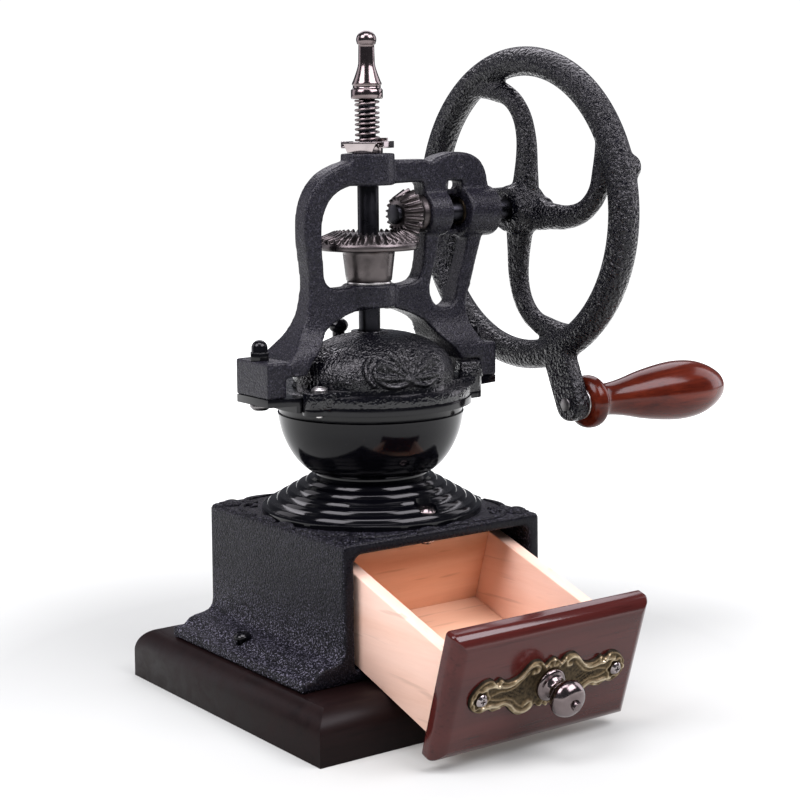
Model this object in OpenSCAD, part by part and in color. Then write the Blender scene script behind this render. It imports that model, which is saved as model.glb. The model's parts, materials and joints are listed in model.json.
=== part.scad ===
// Hand crank coffee grinder: cast hopper and yoke on a drawer box and a wooden base.
// Millimetres, +Z up, origin on the floor under the vertical spindle; the drawer opens towards -Y.

/* [Base board] */
// Width of the wooden base along X
base_w = 180; // [150:1:230]
// Depth of the wooden base along Y
base_d = 172; // [150:1:220]
// Thickness of the wooden base
base_h = 25; // [18:1:36]
// Radius of the rounded upper edge of the base
base_round = 12; // [6:0.5:15]

/* [Drawer box] */
// Width of the cast box across its side walls
box_w = 117; // [105:1:140]
// Depth of the cast box, front to back
box_d = 120; // [112:1:140]
// Height of the cast box above the base
box_h = 65; // [60:1:84]
// Wall thickness of the cast box
box_wall = 6; // [4:0.5:9]
// How far each foot flange stands out from its side wall
foot_out = 23; // [18:1:26]

/* [Drawer] */
// Height of the drawer sides
drawer_h = 41; // [34:0.5:42]
// Length of the drawer behind its front panel
drawer_len = 99; // [85:1:100]
// How far the drawer is pulled out, measured along it
drawer_out = 59; // [40:1:60]
// Angle the open drawer hangs down at
droop = 17.5; // [8:0.5:18]
// Height of the front panel
panel_h = 62.5; // [60:0.5:70]
// Thickness of the front panel
panel_t = 10; // [7:0.5:12]

/* [Hopper] */
// Radius of the pedestal flange
pedestal_r = 55; // [48:0.5:57]
// Height of the ringed pedestal
pedestal_h = 18.5; // [15:0.5:28]
// Radius at the waist of the hopper
waist_r = 28; // [24:0.5:32]
// Radius of the bowl at its rim
bowl_r = 46.5; // [44:0.5:50]
// Height of the bowl above the waist
bowl_h = 35; // [28:0.5:45]
// Height of the dome above the bowl flange
dome_h = 27; // [22:0.5:30]

/* [Yoke] */
// Thickness of the yoke front to back
yoke_t = 11; // [9:0.5:14]
// Distance of each yoke bolt from the spindle
foot_x = 64.5; // [62:0.5:70]
// Height of the crank axle above the bowl flange
axle_up = 88; // [86:0.5:100]
// Depth of each foot block along Y
foot_d = 30; // [24:0.5:34]

/* [Drive] */
// Bevel gear module
gear_m = 1.33; // [1.1:0.01:1.35]
// Teeth on the ring gear
ring_z = 38; // [36:1:40]
// Teeth on the pinion
pinion_z = 18; // [16:1:18]
// Radius of the spindle
spindle_r = 5.3; // [4.5:0.1:6]
// Radius of the crank axle
axle_r = 5; // [4:0.1:5.5]

/* [Wheel and handle] */
// Outer radius of the wheel
wheel_r = 84.5; // [70:0.5:100]
// Section diameter of the rim
rim_d = 15; // [11:0.5:18]
// Distance of the wheel's middle plane from the spindle
wheel_x = 99.5; // [98:0.5:112]
// Radius at which the handle is carried
crank_r = 107; // [104:0.5:120]
// Turn of the wheel at rest
crank_turn = 23; // [0:1:359]
// Length of the wooden grip
grip_len = 100; // [80:1:115]
// Largest radius of the wooden grip
grip_r = 15.7; // [13:0.1:18]

/* [Hidden] */
$fn = 64;
// Running gap between a shaft and its hole
run = 0.06;
// Gap between flat faces that slide past each other
face_gap = 0.05;
z_box = base_h;
z_top = base_h + box_h;
lip_h = 5;
top_t = 5.5;
open_hw = box_w / 2 - box_wall;
z_ceil = z_top - top_t;
z_waist = z_top + pedestal_h;
z_band = z_waist + bowl_h - 5;
z_flange = z_waist + bowl_h;
z_seat = z_flange + 9;
z_axle = z_flange + 5 + axle_up;
z_apex = z_axle;
rod_r = 4;
ear_t = 3.7;

// Gear sizes: bevel pair at right angles, both cones meeting where the axes cross
ring_rp = gear_m * ring_z / 2;
pin_rp = gear_m * pinion_z / 2;
cone_a = sqrt(ring_rp * ring_rp + pin_rp * pin_rp);
ring_cone = atan2(ring_rp, pin_rp);
pin_cone = atan2(pin_rp, ring_rp);
face_w = 9;
addendum = 0.8 * gear_m;
dedendum = 1.05 * gear_m;
inner_k = (cone_a - face_w) / cone_a;

// Yoke levels
z_foot0 = z_seat;
z_foot1 = z_seat + 17.5;
z_boss_l0 = z_axle - 45.2;
z_boss_l1 = z_axle - 33.6;
z_bar0 = z_axle + 16;
z_bar1 = z_axle + 27.4;
z_boss_u0 = z_axle + 15;
z_boss_u1 = z_axle + 30.8;
boss_r = 13.4;
bear_in0 = ring_rp + 6.5;
bear_in1 = bear_in0 + 13.8;
bear_in_r = 11.8;
bear_out0 = bear_in1 + 10.2;
bear_out1 = bear_out0 + 20;
bear_out_r = 13;
bush_t = 1.8;

// Ring gear and hub levels
z_hub0 = z_boss_l1 + 1 + face_gap;
z_ring_back = z_apex - (cone_a * cos(ring_cone)) - 4.6;

// Wheel and crank
hub_x0 = bear_out1 + 11.4;
hub_x1 = wheel_x + 7.5;
shoulder_r = axle_r + 1.6;
hub_r = 12.6;
lug_t = 9;
lug_x0 = wheel_x - 7;
lug_x1 = lug_x0 + lug_t;
grip_x0 = lug_x1 + 1.2;
bolt_r = 2.8;

// Drawer, worked out in its own level frame: origin at the lip, +Y inwards, +Z up from its underside
lip_y = -box_d / 2;
lip_z = base_h + lip_h;
drawer_hw = open_hw - 3;
side_t = 7;
panel_hw = box_w / 2 - 2;
panel_drop = 5.5;
bottom_t = 4;
// Gap between the lip and the drawer that hangs on it
lip_gap = 0.2;
knob_z = panel_h / 2 - panel_drop;

// ---------- shared shapes ----------

// Points of a smooth curve through control points
function spline_pt(a, b, c, d, t) = 0.5 * (2 * b + (c - a) * t + (2 * a - 5 * b + 4 * c - d) * t * t
    + (3 * b - a - 3 * c + d) * t * t * t);
function spline(p, n) = [for (i = [0:len(p) - 2]) for (j = [0:n - 1])
    spline_pt(p[max(i - 1, 0)], p[i], p[i + 1], p[min(i + 2, len(p) - 1)], j / n)];
function polar_yz(r, a) = [r * sin(a), r * cos(a)];

// Turns a drawing in the XZ plane into a plate centred on Y = 0
module plate_xz(t) {
    translate([0, t / 2, 0])
        rotate([90, 0, 0])
            linear_extrude(t)
                children();
}

// Cylinder along +X from x0 to x1
module rod_x(x0, x1, r) {
    translate([x0, 0, 0])
        rotate([0, 90, 0])
            cylinder(h = x1 - x0, r = r);
}

// Screw head with a cross recess, top at z = h, seat at z = 0
module pan_head(r, h, shank_r, shank_l) {
    difference() {
        union() {
            cylinder(h = h * 0.45, r = r);
            translate([0, 0, h * 0.45])
                cylinder(h = h * 0.55, r1 = r, r2 = r * 0.68);
            translate([0, 0, -shank_l])
                cylinder(h = shank_l, r = shank_r);
        }
        for (a = [0, 90])
            rotate([0, 0, a])
                translate([-r * 0.5, -r * 0.11, h * 0.5])
                    cube([r, r * 0.22, h]);
    }
}

// One straight bevel tooth pointing outwards along +X, on a cone with its tip at the origin
module bevel_tooth(cone) {
    thick = gear_m * PI * 0.445 / 2;
    h = [-dedendum - 0.5, 0, addendum];
    w = [thick * 1.42, thick, thick * 0.5];
    function pt(k, i, s) = let (a = cone_a * k, u = k * h[i])
        [a * sin(cone) + u * cos(cone), s * k * w[i], u * sin(cone) - a * cos(cone)];
    ring = [[0, -1], [1, -1], [2, -1], [2, 1], [1, 1], [0, 1]];
    outer = [for (q = ring) pt(1, q[0], q[1])];
    inner = [for (q = ring) pt(inner_k, q[0], q[1])];
    polyhedron(points = concat(outer, inner),
        faces = concat([[0, 1, 2, 3, 4, 5]], [[11, 10, 9, 8, 7, 6]],
            [for (i = [0:5]) [i, i + 6, (i + 1) % 6 + 6, (i + 1) % 6]]), convexity = 2);
}

// Root cone of a bevel gear, with its tip at the origin and opening towards -Z
function root_pt(cone, k, d) = [cone_a * k * sin(cone) - k * d * cos(cone), -(cone_a * k * cos(cone) + k * d * sin(cone))];

// ---------- base and drawer box ----------

module base_board() {
    color("#2a1512")
        difference() {
            intersection() {
                translate([-base_w / 2, 0, 0])
                    rotate([90, 0, 90])
                        linear_extrude(base_w)
                            base_section(base_d);
                rotate([90, 0, 0])
                    translate([0, 0, -base_d / 2])
                        linear_extrude(base_d)
                            base_section(base_w);
            }
            for (p = housing_screw_at)
                translate([p[0], p[1], base_h - 14])
                    cylinder(h = 15, r = 1.6);
        }
}

// Board section with rounded upper corners
module base_section(w) {
    union() {
        translate([-w / 2, 0])
            square([w, base_h - base_round]);
        translate([-w / 2 + base_round, 0])
            square([w - 2 * base_round, base_h]);
        for (s = [-1, 1])
            translate([s * (w / 2 - base_round), base_h - base_round])
                circle(r = base_round);
    }
}

foot_hw = box_w / 2 + foot_out;
foot_edge = 5;
housing_screw_at = [[-foot_hw + 9.5, 8], [foot_hw - 9.5, 8]];
foot_top = z_box + foot_edge + 4.2;

// Right half of the box outline seen from the front, with its swept foot
function foot_curve() = spline([[foot_hw - 6, z_box + foot_edge + 0.3], [foot_hw - 8.2, z_box + foot_edge + 2.4],
    [foot_hw - 10.5, z_box + foot_edge + 3.9], [box_w / 2 + 5, z_box + foot_edge + 5.2],
    [box_w / 2 + 1.6, z_box + foot_edge + 6.6], [box_w / 2, z_box + foot_edge + 11]], 4);

module housing_outline() {
    right = concat([[foot_hw, z_box], [foot_hw, z_box + foot_edge]], foot_curve(),
        [[box_w / 2, z_box + foot_edge + 11], [box_w / 2, z_top - 1.5], [box_w / 2 - 1.5, z_top]]);
    polygon(concat(right, [for (i = [len(right) - 1:-1:0]) [-right[i][0], right[i][1]]]));
}

module drawer_housing() {
    color("#1b1b1d")
        difference() {
            plate_xz(box_d)
                housing_outline();
            // drawer space, with rounded upper corners
            translate([0, -box_d / 2 - 1, 0])
                rotate([-90, 0, 0])
                    linear_extrude(box_d - box_wall + 1)
                        mirror([0, 1])
                            opening_outline();
            // coffee drops through here
            translate([0, 0, z_ceil - 1])
                cylinder(h = top_t + 2, r = waist_r - 6);
            for (s = [-1, 1])
                translate([0, s * pedestal_screw_y, z_ceil - 1])
                    cylinder(h = top_t + 2, r = 2.3);
            for (p = housing_screw_at) {
                translate([p[0], p[1], z_box - 1])
                    cylinder(h = 20, r = 2.2);
                translate([p[0], p[1], foot_top])
                    cylinder(h = 10, r = 6.2);
            }
        }
}

module opening_outline() {
    r = 5;
    union() {
        translate([-open_hw, lip_z])
            square([2 * open_hw, z_ceil - lip_z - r]);
        translate([-open_hw + r, lip_z])
            square([2 * (open_hw - r), z_ceil - lip_z]);
        for (s = [-1, 1])
            translate([s * (open_hw - r), z_ceil - r])
                circle(r = r);
    }
}

module housing_screws() {
    color("#202022")
        for (p = housing_screw_at)
            translate([p[0], p[1], foot_top])
                pan_head(4.4, 2.6, 1.6, foot_top - base_h + 11);
}

// ---------- hopper ----------

pedestal_screw_y = pedestal_r - 10;
step_n = 5;
step_w = (pedestal_r - 2.5 - waist_r) / step_n;
step_h = (pedestal_h - 4) / step_n;

// Outer outline of pedestal and bowl, from the foot of the flange upwards
function pedestal_curve() = [for (i = [0:step_n - 1]) for (j = [0:3])
    let (r0 = pedestal_r - 2.5 - i * step_w, z0 = z_top + 3.2 + i * step_h, a = j * 30)
    [r0 - step_w * 0.55 * (1 - cos(a)) - (j == 3 ? step_w * 0.2 : 0), z0 + step_h * 0.8 * sin(a)]];
// a power under 1 leans the round of the bowl towards a cone
bowl_lean = 0.8;
bowl_curve = [for (i = [0:12]) let (a = i * 6.8, up = (1 - cos(a)) / (1 - cos(81.6)))
    [waist_r + (bowl_r - waist_r) * sin(a), z_waist + 1 + (bowl_h - 6) * pow(up, bowl_lean)]];

module hopper_profile() {
    polygon(concat([[waist_r - 6, z_top], [pedestal_r, z_top], [pedestal_r, z_top + 2.4], [pedestal_r - 1, z_top + 3.2]],
        pedestal_curve(), [[waist_r, z_waist]], bowl_curve,
        [[bowl_r, z_band + 1], [bowl_r - 0.8, z_band + 1.6], [bowl_r - 0.8, z_flange - 0.4], [bowl_r + 4, z_flange + 0.4],
        [bowl_r + 4, z_flange + 4], [bowl_r - 5, z_flange + 4], [bowl_r - 6, z_band], [waist_r + 6, z_waist + 14],
        [burr_r + 4, z_waist + 13.6], [burr_r + 4, z_waist + 13], [burr_r, z_waist + 13], [burr_r, z_waist - 5],
        [waist_r - 6, z_waist - 5]]));
}
burr_r = waist_r - 4;

lid_rim_r = bowl_r + 3.5;

// Plate under both yoke feet, open inside radius r
module ear_outline(r) {
    difference() {
        polygon([[-foot_out_x, -foot_d / 2 + 1], [-foot_out_x, foot_d / 2 - 1], [-bowl_r + 8, foot_d / 2 + 6],
            [bowl_r - 8, foot_d / 2 + 6], [foot_out_x, foot_d / 2 - 1], [foot_out_x, -foot_d / 2 + 1],
            [bowl_r - 8, -foot_d / 2 - 6], [-bowl_r + 8, -foot_d / 2 - 6]]);
        circle(r = r, $fn = 128);
        lid_lugs(0.3);
        for (s = [-1, 1])
            translate([s * foot_x, 0])
                circle(r = 2.6);
    }
}
lid_lug_r = 6.5;

// Flat ears of the lid rim: one for each screw and one under the raised pad
module lid_lugs(d) {
    for (a = concat(lid_screw_at, [lid_pad_at]))
        rotate(a)
            union() {
                translate([lid_screw_r + 3, 0])
                    circle(r = lid_lug_r + d);
                polygon([[lid_screw_r - 9, -2.4 * lid_lug_r - d], [lid_screw_r + 4.5, -lid_lug_r - d + 0.2],
                    [lid_screw_r + 4.5, lid_lug_r + d - 0.2], [lid_screw_r - 9, 2.4 * lid_lug_r + d]]);
            }
}

// Thicker root of the ears, hidden behind the bolt heads
module ear_root(r) {
    intersection() {
        ear_outline(r);
        square([2 * bowl_r + 17, 2 * bowl_r], center = true);
    }
}

module hopper_body() {
    color("#0c0c0e")
        difference() {
            union() {
                rotate_extrude($fn = 128)
                    hopper_profile();
                translate([0, 0, z_seat - ear_t])
                    linear_extrude(ear_t)
                        ear_outline(lid_rim_r + 0.3);
                translate([0, 0, z_rim])
                    linear_extrude(rim_t - ear_t + 0.5)
                        ear_root(lid_rim_r + 0.3);
                translate([0, 0, z_rim - 2])
                    linear_extrude(2)
                        ear_root(bowl_r - 5.5);
                translate([0, 0, z_rim - 3.2])
                    linear_extrude(3.2)
                        difference() {
                            lid_lugs(0);
                            circle(r = bowl_r - 5.5, $fn = 128);
                        }
            }
            for (s = [-1, 1]) {
                translate([0, s * pedestal_screw_y, z_top - 1])
                    cylinder(h = 20, r = 2.3);
                translate([0, s * pedestal_screw_y, z_top + 4.6])
                    cylinder(h = 20, r = 5.6);
            }
            translate([0, 0, z_rim - 10])
                cylinder(h = 30, r = bowl_r - 5.5);
            for (a = lid_screw_at)
                rotate([0, 0, a])
                    translate([lid_screw_r, 0, z_rim - 7])
                        cylinder(h = 10, r = 1.65);
        }
}

lid_screw_at = [-156, 24];
lid_pad_at = -24;
lug_up = 2.5;
pad_h = 7.3;
lid_screw_r = bowl_r + 1;
z_rim = z_flange + 4;
rim_t = z_seat - z_rim;

module pedestal_screws() {
    color("#3a3434")
        for (s = [-1, 1])
            translate([0, s * pedestal_screw_y, z_top + 4.6])
                rotate([0, 0, 20])
                    pan_head(5, 3, 2.2, 4.6 + top_t + 4.5);
}

module pedestal_nuts() {
    color("#8d8d8d")
        for (s = [-1, 1])
            translate([0, s * pedestal_screw_y, z_ceil - 3.4])
                difference() {
                    cylinder(h = 3.4, r = 4.4, $fn = 6);
                    translate([0, 0, -1])
                        cylinder(h = 6, r = 2.25);
                }
}

// Ring with a toothed mouth, seated in the neck of the hopper
module outer_burr() {
    color("#5b5b5e")
        difference() {
            rotate_extrude()
                polygon([[burr_r - 5, z_waist - 5], [burr_r, z_waist - 5], [burr_r, z_waist + 13],
                    [burr_r - 8, z_waist + 13], [burr_r - 8, z_waist + 8]]);
            for (i = [0:11])
                rotate([0, 0, i * 30])
                    translate([burr_r - 8, 0, z_waist - 8])
                        rotate([0, 8, 0])
                            translate([-1.6, -0.9, 0])
                                cube([3.2, 1.8, 26]);
        }
}

// ---------- lid ----------

dome_r = bowl_r - 4.5;
dome_z0 = z_seat;
shell_t = 3;

// Dome outline, inset by d: a short upright wall, then a full curve
dome_wall = 5.5;
dome_full = 0.8;
function dome_pts(d) = [for (i = [0:11]) let (a = i * 90 / 11)
    [(dome_r - d) * pow(max(cos(a), 0), dome_full), dome_z0 + dome_wall + (dome_h - dome_wall - d) * sin(a)]];
// Height of that outline at radius r
function dome_at(d, r) = dome_z0 + dome_wall + (dome_h - dome_wall - d) * sqrt(1 - pow(r / (dome_r - d), 2 / dome_full));

module dome_shell(d, t) {
    rotate_extrude($fn = 96)
        polygon(concat([[dome_r - d, dome_z0 - rim_t + shelf_t + face_gap]], dome_pts(d),
            [for (i = [11:-1:0]) dome_pts(d + t)[i]], [[dome_r - d - t, dome_z0 - rim_t + shelf_t + face_gap]]));
}

module front_half(extra) {
    translate([-100, -100, z_flange - 20])
        cube([200, 100 + extra, 120]);
}
shelf_t = 1.2;

lid_hub_r = spindle_r + 4;

module hopper_lid() {
    color("#141416")
        difference() {
            union() {
                intersection() {
                    dome_shell(0, shell_t);
                    front_half(2.5);
                }
                // collar round the spindle
                translate([0, 0, dome_z0 + dome_h - shell_t])
                    cylinder(h = shell_t, r = lid_hub_r);
                // rim on the bowl flange, with a lug for each screw
                translate([0, 0, z_rim])
                    linear_extrude(rim_t)
                        difference() {
                            circle(r = lid_rim_r, $fn = 128);
                            circle(r = dome_r - shell_t, $fn = 128);
                        }
                translate([0, 0, z_rim])
                    linear_extrude(rim_t + lug_up)
                        difference() {
                            lid_lugs(0);
                            circle(r = dome_r - 1, $fn = 128);
                        }
                // raised pad on the front ear
                rotate([0, 0, lid_pad_at])
                    translate([lid_screw_r + 3, 0, z_seat + lug_up])
                        linear_extrude(pad_h, scale = 0.84)
                            offset(r = 2, $fn = 24)
                                square(8.4, center = true);
                // shelf the door's edge slides on
                translate([0, 0, z_rim])
                    linear_extrude(shelf_t)
                        difference() {
                            circle(r = dome_r, $fn = 128);
                            circle(r = dome_r - 8, $fn = 128);
                        }
            }
            translate([0, 0, dome_z0])
                cylinder(h = 60, r = spindle_r + 1);
            for (a = lid_screw_at)
                rotate([0, 0, a])
                    translate([lid_screw_r, 0, z_rim - 2])
                        cylinder(h = rim_t + lug_up + 4, r = 2.1);
        }
}

module lid_screws() {
    color("#9a9a9a")
        for (a = lid_screw_at)
            rotate([0, 0, a])
                translate([lid_screw_r, 0, z_seat + lug_up])
                    pan_head(3.9, 2.2, 1.6, rim_t + lug_up + 5);
}

// Half dome that swings under the front half to open the hopper
door_gap = 0.35;
module hopper_door() {
    color("#1c1c1f")
        difference() {
            intersection() {
                union() {
                    dome_shell(shell_t + door_gap, 2.2);
                    translate([0, 0, dome_z0 + dome_h - shell_t - door_gap - 3.6])
                        cylinder(h = 1.8, r = lid_hub_r);
                }
                union() {
                    translate([-100, 0.4, dome_z0 - rim_t])
                        cube([200, 100, 120]);
                    translate([0, 0, dome_z0])
                        cylinder(h = 60, r = lid_hub_r);
                }
            }
            translate([0, 0, dome_z0])
                cylinder(h = 60, r = spindle_r + 1);
            rotate([0, 0, door_knob_at])
                translate([door_knob_r, 0, dome_z0])
                    cylinder(h = 60, r = 1.5);
        }
}
door_knob_at = 96;
door_knob_r = dome_r * 4 / 7;
door_knob_z = dome_at(shell_t + door_gap, door_knob_r);

module door_knob() {
    color("#141416")
        rotate([0, 0, door_knob_at])
            translate([door_knob_r, 0, door_knob_z - 1.2])
                rotate_extrude($fn = 48)
                    polygon(concat([[0, -5], [1.5, -5], [1.5, 2.4], [3.2, 2.4], [3.2, 4.2]],
                        [for (i = [0:8]) let (a = -50 + i * 17.5) [5 * cos(a), 8 + 5 * 0.8 * sin(a)]], [[0, 12]]));
}

// ---------- yoke ----------

foot_in = foot_x - 6;
foot_out_x = foot_x + 4.5;
arch_z0 = z_seat + 9.8;

// Outer edge of the left leg, from the foot up to the top bar
function leg_outer() = spline([[-foot_x + 8, z_foot1 - 1], [-foot_x + 14.5, z_foot1 + 5.5], [-foot_x + 19.5, z_foot1 + 12],
    [-41, z_axle - 47.5], [-38.7, z_axle - 38.5], [-38.3, z_axle - 28.5], [-39.6, z_axle - 18], [-40.6, z_axle - 8],
    [-39.8, z_axle + 3.5], [-36, z_axle + 13.5], [-29, z_axle + 21], [-20, z_axle + 25.4], [-12, z_bar1]], 4);
// Lower arch, left half, from the foot up to the lower boss
function arch_left() = spline([[-dome_r - 4.6, arch_z0], [-dome_r - 3.2, z_seat + 13], [-dome_r, z_seat + 17],
    [-dome_r + 5.6, z_seat + 21.6], [-30, z_axle - 54.3], [-21.5, z_axle - 49.6], [-12, z_axle - 46.5]], 4);
// Right outer edge, from the foot up to the bearing
function strut_outer() = spline([[foot_x - 2, z_foot1 - 1], [foot_x - 6, z_foot1 + 6], [foot_x - 7.8, z_foot1 + 15],
    [foot_x - 7, z_foot1 + 23.5], [bear_out0 + 5, z_axle - 35.5], [bear_out0 + 8.1, z_axle - 25.5],
    [bear_out0 + 11.7, z_axle - 14.5], [bear_out0 + 13.7, z_axle - 8]], 4);
// Rounded block on the end of the top bar
function top_block() = spline([[bear_out0 + 16.6, z_axle + 8], [bear_out0 + 16.4, z_axle + 14], [bear_out0 + 14.8, z_axle + 21],
    [bear_out0 + 10.8, z_axle + 26.6], [bear_out0 + 4.2, z_axle + 29.8], [bear_in1 + 4.8, z_axle + 30.6],
    [bear_in0 + 9, z_axle + 28.6], [bear_in0 + 5.4, z_axle + 26.6], [bear_in0 + 2, z_bar1 - 1.6]], 4);
// Window round the gears
function window_edge() = concat([[12, z_bar0 - 0.5], [bear_in0 - 1.5, z_bar0], [bear_in0, z_axle + 13], [bear_in0, z_axle - 13]],
    spline([[bear_in0, z_axle - 13], [bear_in0 - 1.5, z_axle - 25], [bear_in0 - 4.2, z_axle - 32], [bear_in0 - 10, z_axle - 34.5], [12, z_axle - 35]], 4),
    [[12, z_axle - 35], [-12, z_axle - 35]],
    spline([[-12, z_axle - 34.4], [-23, z_axle - 34.6], [-27.8, z_axle - 32.6], [-29.8, z_axle - 28.5], [-30.4, z_axle - 20],
    [-31, z_axle - 9.5], [-30, z_axle], [-26.5, z_axle + 7.5], [-20.5, z_axle + 12.6], [-12, z_bar0 - 0.5]], 4));
// Slot between the two struts that carry the axle bearings
function slot_edge() = concat([[bear_out0 + 0.3, z_bar0], [bear_in1 - 0.3, z_bar0], [bear_in1 - 0.3, z_axle - 4]],
    spline([[bear_in0 + 9, z_axle - 10], [bear_in0 + 7.8, z_axle - 18], [bear_in0 + 5.9, z_axle - 26], [bear_in0 + 3.1, z_axle - 34],
    [bear_in0 + 2.3, z_axle - 39.5], [bear_in0 + 4, z_axle - 44.5], [bear_in0 + 8.2, z_axle - 47.6], [bear_in0 + 13.7, z_axle - 48],
    [bear_in1 + 4.2, z_axle - 44.5], [bear_in1 + 6, z_axle - 38], [bear_out0 - 1.2, z_axle - 29.5], [bear_out0 + 1.4, z_axle - 21.5],
    [bear_out0 + 4.1, z_axle - 11.5]], 4), [[bear_out0 + 4.1, z_axle - 11.5], [bear_out0 + 0.3, z_axle - 4]]);

module yoke_outline() {
    difference() {
        polygon(concat([[-foot_x + 4, arch_z0], [-foot_x + 4, z_foot1 - 1]], leg_outer(), [[-12, z_bar1], [bear_in0 + 1, z_bar1]],
            [for (i = [len(top_block()) - 1:-1:0]) top_block()[i]],
            [for (i = [len(strut_outer()) - 1:-1:0]) strut_outer()[i]],
            [[foot_x - 2, z_foot1 - 1], [foot_x - 3, arch_z0]],
            [for (i = [0:len(arch_left()) - 1]) [-arch_left()[i][0], arch_left()[i][1]]],
            [[12, z_axle - 46.5], [-12, z_axle - 46.5]],
            [for (i = [len(arch_left()) - 1:-1:0]) arch_left()[i]]));
        polygon(window_edge());
        polygon(slot_edge());
    }
}

// Depth of the yoke along Y: narrow above, flaring to the foot blocks
module yoke_side() {
    d0 = foot_d / 2;
    d1 = yoke_t / 2;
    polygon(concat([[-d0, z_foot0 - 1], [d0, z_foot0 - 1]],
        spline([[d0, z_foot1 - 4], [d0 - 2, z_foot1 + 3], [d1 + 2.2, z_foot1 + 12], [d1 + 0.4, z_foot1 + 24], [d1, z_foot1 + 36]], 4),
        [[d1, z_foot1 + 36], [d1, z_axle + 60], [-d1, z_axle + 60], [-d1, z_foot1 + 36]],
        spline([[-d1, z_foot1 + 36], [-d1 - 0.4, z_foot1 + 24], [-d1 - 2.2, z_foot1 + 12], [-d0 + 2, z_foot1 + 3], [-d0, z_foot1 - 4]], 4)));
}

// Half shell behind the axle that joins its two bearings
module axle_trough() {
    intersection() {
        translate([bear_in1 - 1, 0, 0])
            rotate([0, 90, 0])
                tube(bear_out0 - bear_in1 + 2, bear_in_r, bear_in_r - 3);
        translate([bear_in1 - 1, 0, -bear_in_r])
            cube([bear_out0 - bear_in1 + 2, bear_in_r, 2 * bear_in_r]);
    }
}

module yoke() {
    color("#222226")
        difference() {
            union() {
                intersection() {
                    plate_xz(foot_d)
                        yoke_outline();
                    rotate([90, 0, 90])
                        translate([0, 0, -100])
                            linear_extrude(200)
                                yoke_side();
                }
                for (s = [-1, 1])
                    translate([s > 0 ? foot_in : -foot_out_x, -foot_d / 2, z_foot0])
                        cube([foot_out_x - foot_in, foot_d, z_foot1 - z_foot0]);
                translate([0, 0, z_boss_u0])
                    cylinder(h = z_boss_u1 - z_boss_u0, r = boss_r);
                translate([0, 0, z_boss_l0])
                    cylinder(h = z_boss_l1 - z_boss_l0, r = boss_r);
                translate([0, 0, z_axle]) {
                    rod_x(bear_in0, bear_in1, bear_in_r);
                    rod_x(bear_out0, bear_out1, bear_out_r);
                    axle_trough();
                }
            }
            translate([0, 0, z_boss_l0 - 4])
                cylinder(h = 90, r = spindle_r + bush_t);
            translate([0, 0, z_axle])
                rod_x(bear_in0 - 4, bear_out1 + 1, axle_r + bush_t);
            for (s = [-1, 1])
                translate([s * foot_x, 0, z_foot0 - 1]) {
                    cylinder(h = 30, r = 2.6);
                    translate([0, 0, z_foot1 - z_foot0 + 1])
                        cylinder(h = 14, r = 5.8);
                }
        }
}

module yoke_bolts() {
    color("#4a4444")
        for (s = [-1, 1])
            translate([s * foot_x, 0, z_seat - ear_t]) {
                rotate([180, 0, 0])
                    pan_head(5, 2.8, 2.5, 0.01);
                cylinder(h = z_foot1 - z_seat + ear_t + 6, r = 2.5);
            }
}

module acorn_nuts() {
    color("#111113")
        for (s = [-1, 1])
            translate([s * foot_x, 0, z_foot1])
                difference() {
                    union() {
                        cylinder(h = 3.7, r = 5, $fn = 6);
                        translate([0, 0, 3.7])
                            cylinder(h = 2.1, r = 3.9);
                        translate([0, 0, 5.8])
                            intersection() {
                                sphere(r = 3.9);
                                cylinder(h = 5, r = 4);
                            }
                    }
                    translate([0, 0, -1])
                        cylinder(h = 7, r = 2.5);
                }
}

module tube(h, r_out, r_in) {
    difference() {
        cylinder(h = h, r = r_out);
        translate([0, 0, -1])
            cylinder(h = h + 2, r = r_in);
    }
}

module axle_bushings() {
    color("#8a6a35")
        translate([0, 0, z_axle])
            for (b = [[bear_in0, bear_in1], [bear_out0, bear_out1]])
                translate([b[0], 0, 0])
                    rotate([0, 90, 0])
                        tube(b[1] - b[0], axle_r + bush_t - 0.01, axle_r + run);
}

module spindle_bushings() {
    color("#8a6a35") {
        translate([0, 0, z_boss_l0])
            tube(z_boss_l1 - z_boss_l0, spindle_r + bush_t - 0.01, spindle_r + run);
        translate([0, 0, z_boss_u0])
            tube(z_boss_u1 - z_boss_u0, spindle_r + bush_t - 0.01, spindle_r + run);
    }
}

module thrust_washer() {
    color("#777777")
        translate([0, 0, z_boss_l1])
            tube(1, 11, spindle_r + run);
}

// ---------- spindle ----------

spindle_z0 = z_waist - 2;
rod_z0 = z_boss_u1 + 2;
finial_z0 = z_boss_u1 + 26.7;
finial_h = 33.5;

module spindle() {
    color("#2b2b2e")
        difference() {
            union() {
                translate([0, 0, spindle_z0 - 6])
                    cylinder(h = 8, r = 3);
                translate([0, 0, spindle_z0])
                    cylinder(h = rod_z0 - spindle_z0, r = spindle_r);
                translate([0, 0, rod_z0])
                    cylinder(h = finial_z0 + 8 - rod_z0, r = rod_r);
                // threads between plate and finial
                for (i = [0:11])
                    translate([0, 0, rod_z0 + 6.4 + i * 1.5]) {
                        cylinder(h = 0.6, r1 = rod_r, r2 = rod_r + 0.35);
                        translate([0, 0, 0.6])
                            cylinder(h = 0.6, r1 = rod_r + 0.35, r2 = rod_r);
                    }
            }
            translate([0, 0, hub_pin_z])
                rotate([-90, 0, 0])
                    translate([0, 0, spindle_r - 3])
                        cylinder(h = 4, r = 1.8);
        }
}
hub_pin_z = z_hub0 + 6;
hub_r0 = 11.4;
hub_r1 = 13.2;

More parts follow.
